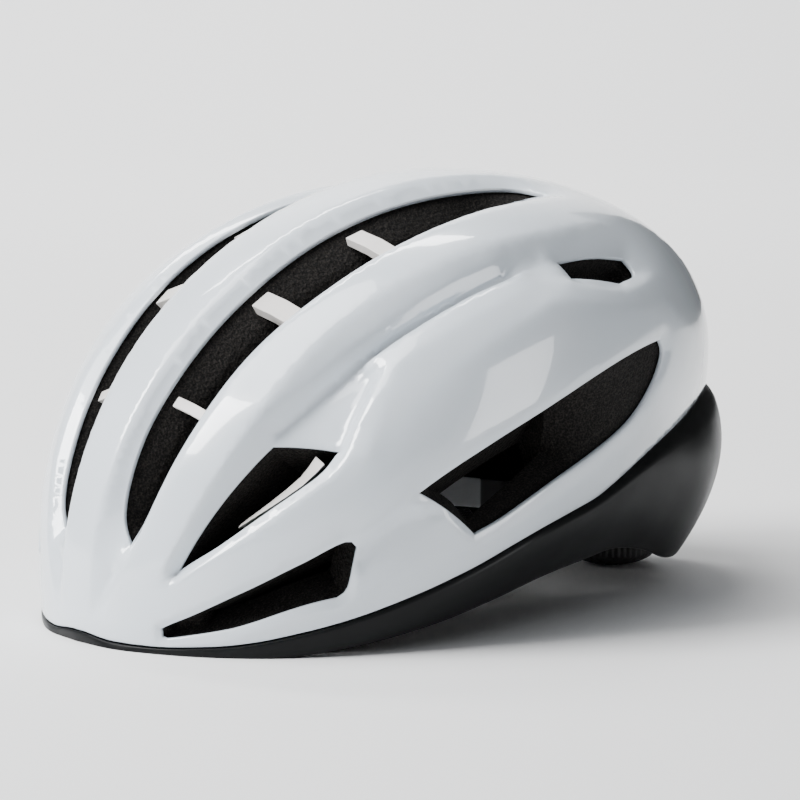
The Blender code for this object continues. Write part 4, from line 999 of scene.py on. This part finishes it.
def dress_nodes(finishes):
    """Give each CAD node that stays its finish and round its edges."""
    plans = {"slot_bar": ("fin", 0.0005), "corner_fin": ("fin", 0.0004),
             "front_hoop": ("plastic", 0.0003), "cradle_housing": ("plastic", 0.0003),
             "cradle_cover": ("plastic", 0.0005), "dial_pinion": ("plastic", 0.00015),
             "fit_band": ("nylon", 0.0003), "height_": ("plastic", 0.0003),
             "strap_anchor": ("plastic", 0.0005), "divider": ("plastic", 0.0006),
             "buckle": ("plastic", 0.0006)}
    for name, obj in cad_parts.items():
        for start, (finish, width) in plans.items():
            if name.startswith(start):
                obj.data.materials.clear()
                obj.data.materials.append(finishes[finish])
                weld = obj.modifiers.new("Weld", 'WELD')
                weld.merge_threshold = 0.00002
                bevel = obj.modifiers.new("Bevel", 'BEVEL')
                bevel.width = width
                bevel.segments = 3
                bevel.limit_method = 'ANGLE'
                bevel.angle_limit = math.radians(32)
                bevel.harden_normals = False
                break


# ---------------------------------------------------------------- studio
def aim(obj, target):
    toward = Vector(target) - obj.location
    obj.rotation_euler = toward.to_track_quat('-Z', 'Y').to_euler()


def softbox(name, place, target, size, power):
    light = bpy.data.lights.new(name, 'AREA')
    light.shape = 'RECTANGLE'
    light.size, light.size_y = size
    light.energy = power
    obj = bpy.data.objects.new(name, light)
    bpy.context.scene.collection.objects.link(obj)
    obj.location = place
    aim(obj, target)
    return obj


def make_camera():
    camera = bpy.data.objects.new("camera", bpy.data.cameras.new("camera"))
    bpy.context.scene.collection.objects.link(camera)
    camera.data.sensor_fit = 'HORIZONTAL'
    camera.data.angle = math.radians(LENS_DEGREES)
    camera.data.clip_start = 0.01
    camera.location = EYE
    aim(camera, AIM_POINT)
    bpy.context.scene.camera = camera


def stage_sheet(name, verts, faces, finish, shade, roughness, bump):
    mesh = bpy.data.meshes.new(name)
    mesh.from_pydata([tuple(v) for v in verts], [], faces)
    sheet = bpy.data.objects.new(name, mesh)
    bpy.context.scene.collection.objects.link(sheet)
    mat, tree, shader = shader_of(finish, (shade, shade, shade), roughness)
    grain(tree, shader, *bump)
    mesh.materials.append(mat)
    return mesh


def make_studio():
    """A pale seamless sweep, a dark card, and soft light from the wearer's right and above."""
    profile = [(-4.0, 0.0)] + [(2.2 + 1.2 * math.sin(a), 1.2 - 1.2 * math.cos(a))
                               for a in np.linspace(0, math.pi / 2, 12)] + [(3.4, 5.0)]
    verts = [BACK * reach + SIDE * across + UP * z for reach, z in profile
             for across in (-SWEEP_HALF_WIDTH, SWEEP_HALF_WIDTH)]
    faces = [(2 * i, 2 * i + 1, 2 * i + 3, 2 * i + 2) for i in range(len(profile) - 1)]
    sweep = stage_sheet("sweep", verts, faces, "paper_sweep", 0.88, 0.9, (60.0, 4.0, 0.02, 0.001))
    sweep.shade_smooth()

    card = [BACK * reach - LEFT * across + UP * z
            for reach, across in ((-0.12, 0.62), (1.2, 0.95), (1.35, 0.45)) for z in (0.02, 1.0)]
    stage_sheet("flag", card, [(0, 1, 3, 2), (2, 3, 5, 4)], "flag_cloth", 0.02, 0.95,
                (200.0, 3.0, 0.1, 0.001))

    softbox("overhead", MIDDLE + UP * 1.4 - BACK * 0.15 + LEFT * 0.75, MIDDLE, (1.1, 1.1), 26.0)
    softbox("key", MIDDLE + LEFT * 1.45 + UP * 1.15 - BACK * 0.5, MIDDLE, (0.8, 0.6), 52.0)
    # the panel only makes the reflection on the side of the shell
    panel = softbox("panel", MIDDLE + Vector((0.68, 0.22, 0.09)),
                    MIDDLE + Vector((0.1, -0.02, 0.0)), (0.30, 0.34), 2.0)
    panel.visible_diffuse = False
    softbox("backdrop", BACK * 1.6 + LEFT * 0.6 + UP * 2.2, BACK * 2.8 + UP * 0.9, (1.6, 1.0),
            105.0)


def make_sky():
    """Even light, bright overhead, dimmer at the horizon and towards the tail."""
    world = bpy.context.scene.world or bpy.data.worlds.new("studio")
    bpy.context.scene.world = world
    world.use_nodes = True
    tree = world.node_tree
    background = tree.nodes["Background"]
    space = node(tree, "ShaderNodeTexCoord")
    split = node(tree, "ShaderNodeSeparateXYZ")
    ramp = node(tree, "ShaderNodeValToRGB")
    ramp.color_ramp.elements[0].position = 0.05
    ramp.color_ramp.elements[0].color = (0.20, 0.205, 0.215, 1.0)
    ramp.color_ramp.elements[1].position = 0.65
    ramp.color_ramp.elements[1].color = (0.93, 0.96, 1.0, 1.0)
    tree.links.new(space.outputs["Generated"], split.inputs["Vector"])
    tree.links.new(split.outputs["Z"], ramp.inputs["Fac"])
    tree.links.new(ramp.outputs["Color"], background.inputs["Color"])
    turn = node(tree, "ShaderNodeVectorMath", operation='DOT_PRODUCT')
    turn.inputs[1].default_value = SKY_SHADE
    fall = node(tree, "ShaderNodeMapRange")
    for name, value in (("From Min", -0.1), ("From Max", 0.8), ("To Min", 0.60), ("To Max", 0.06)):
        fall.inputs[name].default_value = value
    tree.links.new(space.outputs["Generated"], turn.inputs[0])
    tree.links.new(turn.outputs["Value"], fall.inputs["Value"])
    tree.links.new(fall.outputs["Result"], background.inputs["Strength"])


def main():
    make_camera()
    make_studio()
    make_sky()
    finishes = {"fin": fin_plastic(), "plastic": black_plastic("black_plastic", 0.45, 0.2),
                "nylon": grey_nylon()}
    foam = foam_beads()
    make_upper_shell(white_shell())
    make_foam(foam)
    make_lower_shell(charcoal_shell())
    make_foam_tail(foam)
    make_dial(black_plastic("soft_rubber", 0.62, 0.3))
    make_straps(webbing())
    make_padding(pad_fabric())
    dress_nodes(finishes)


main()
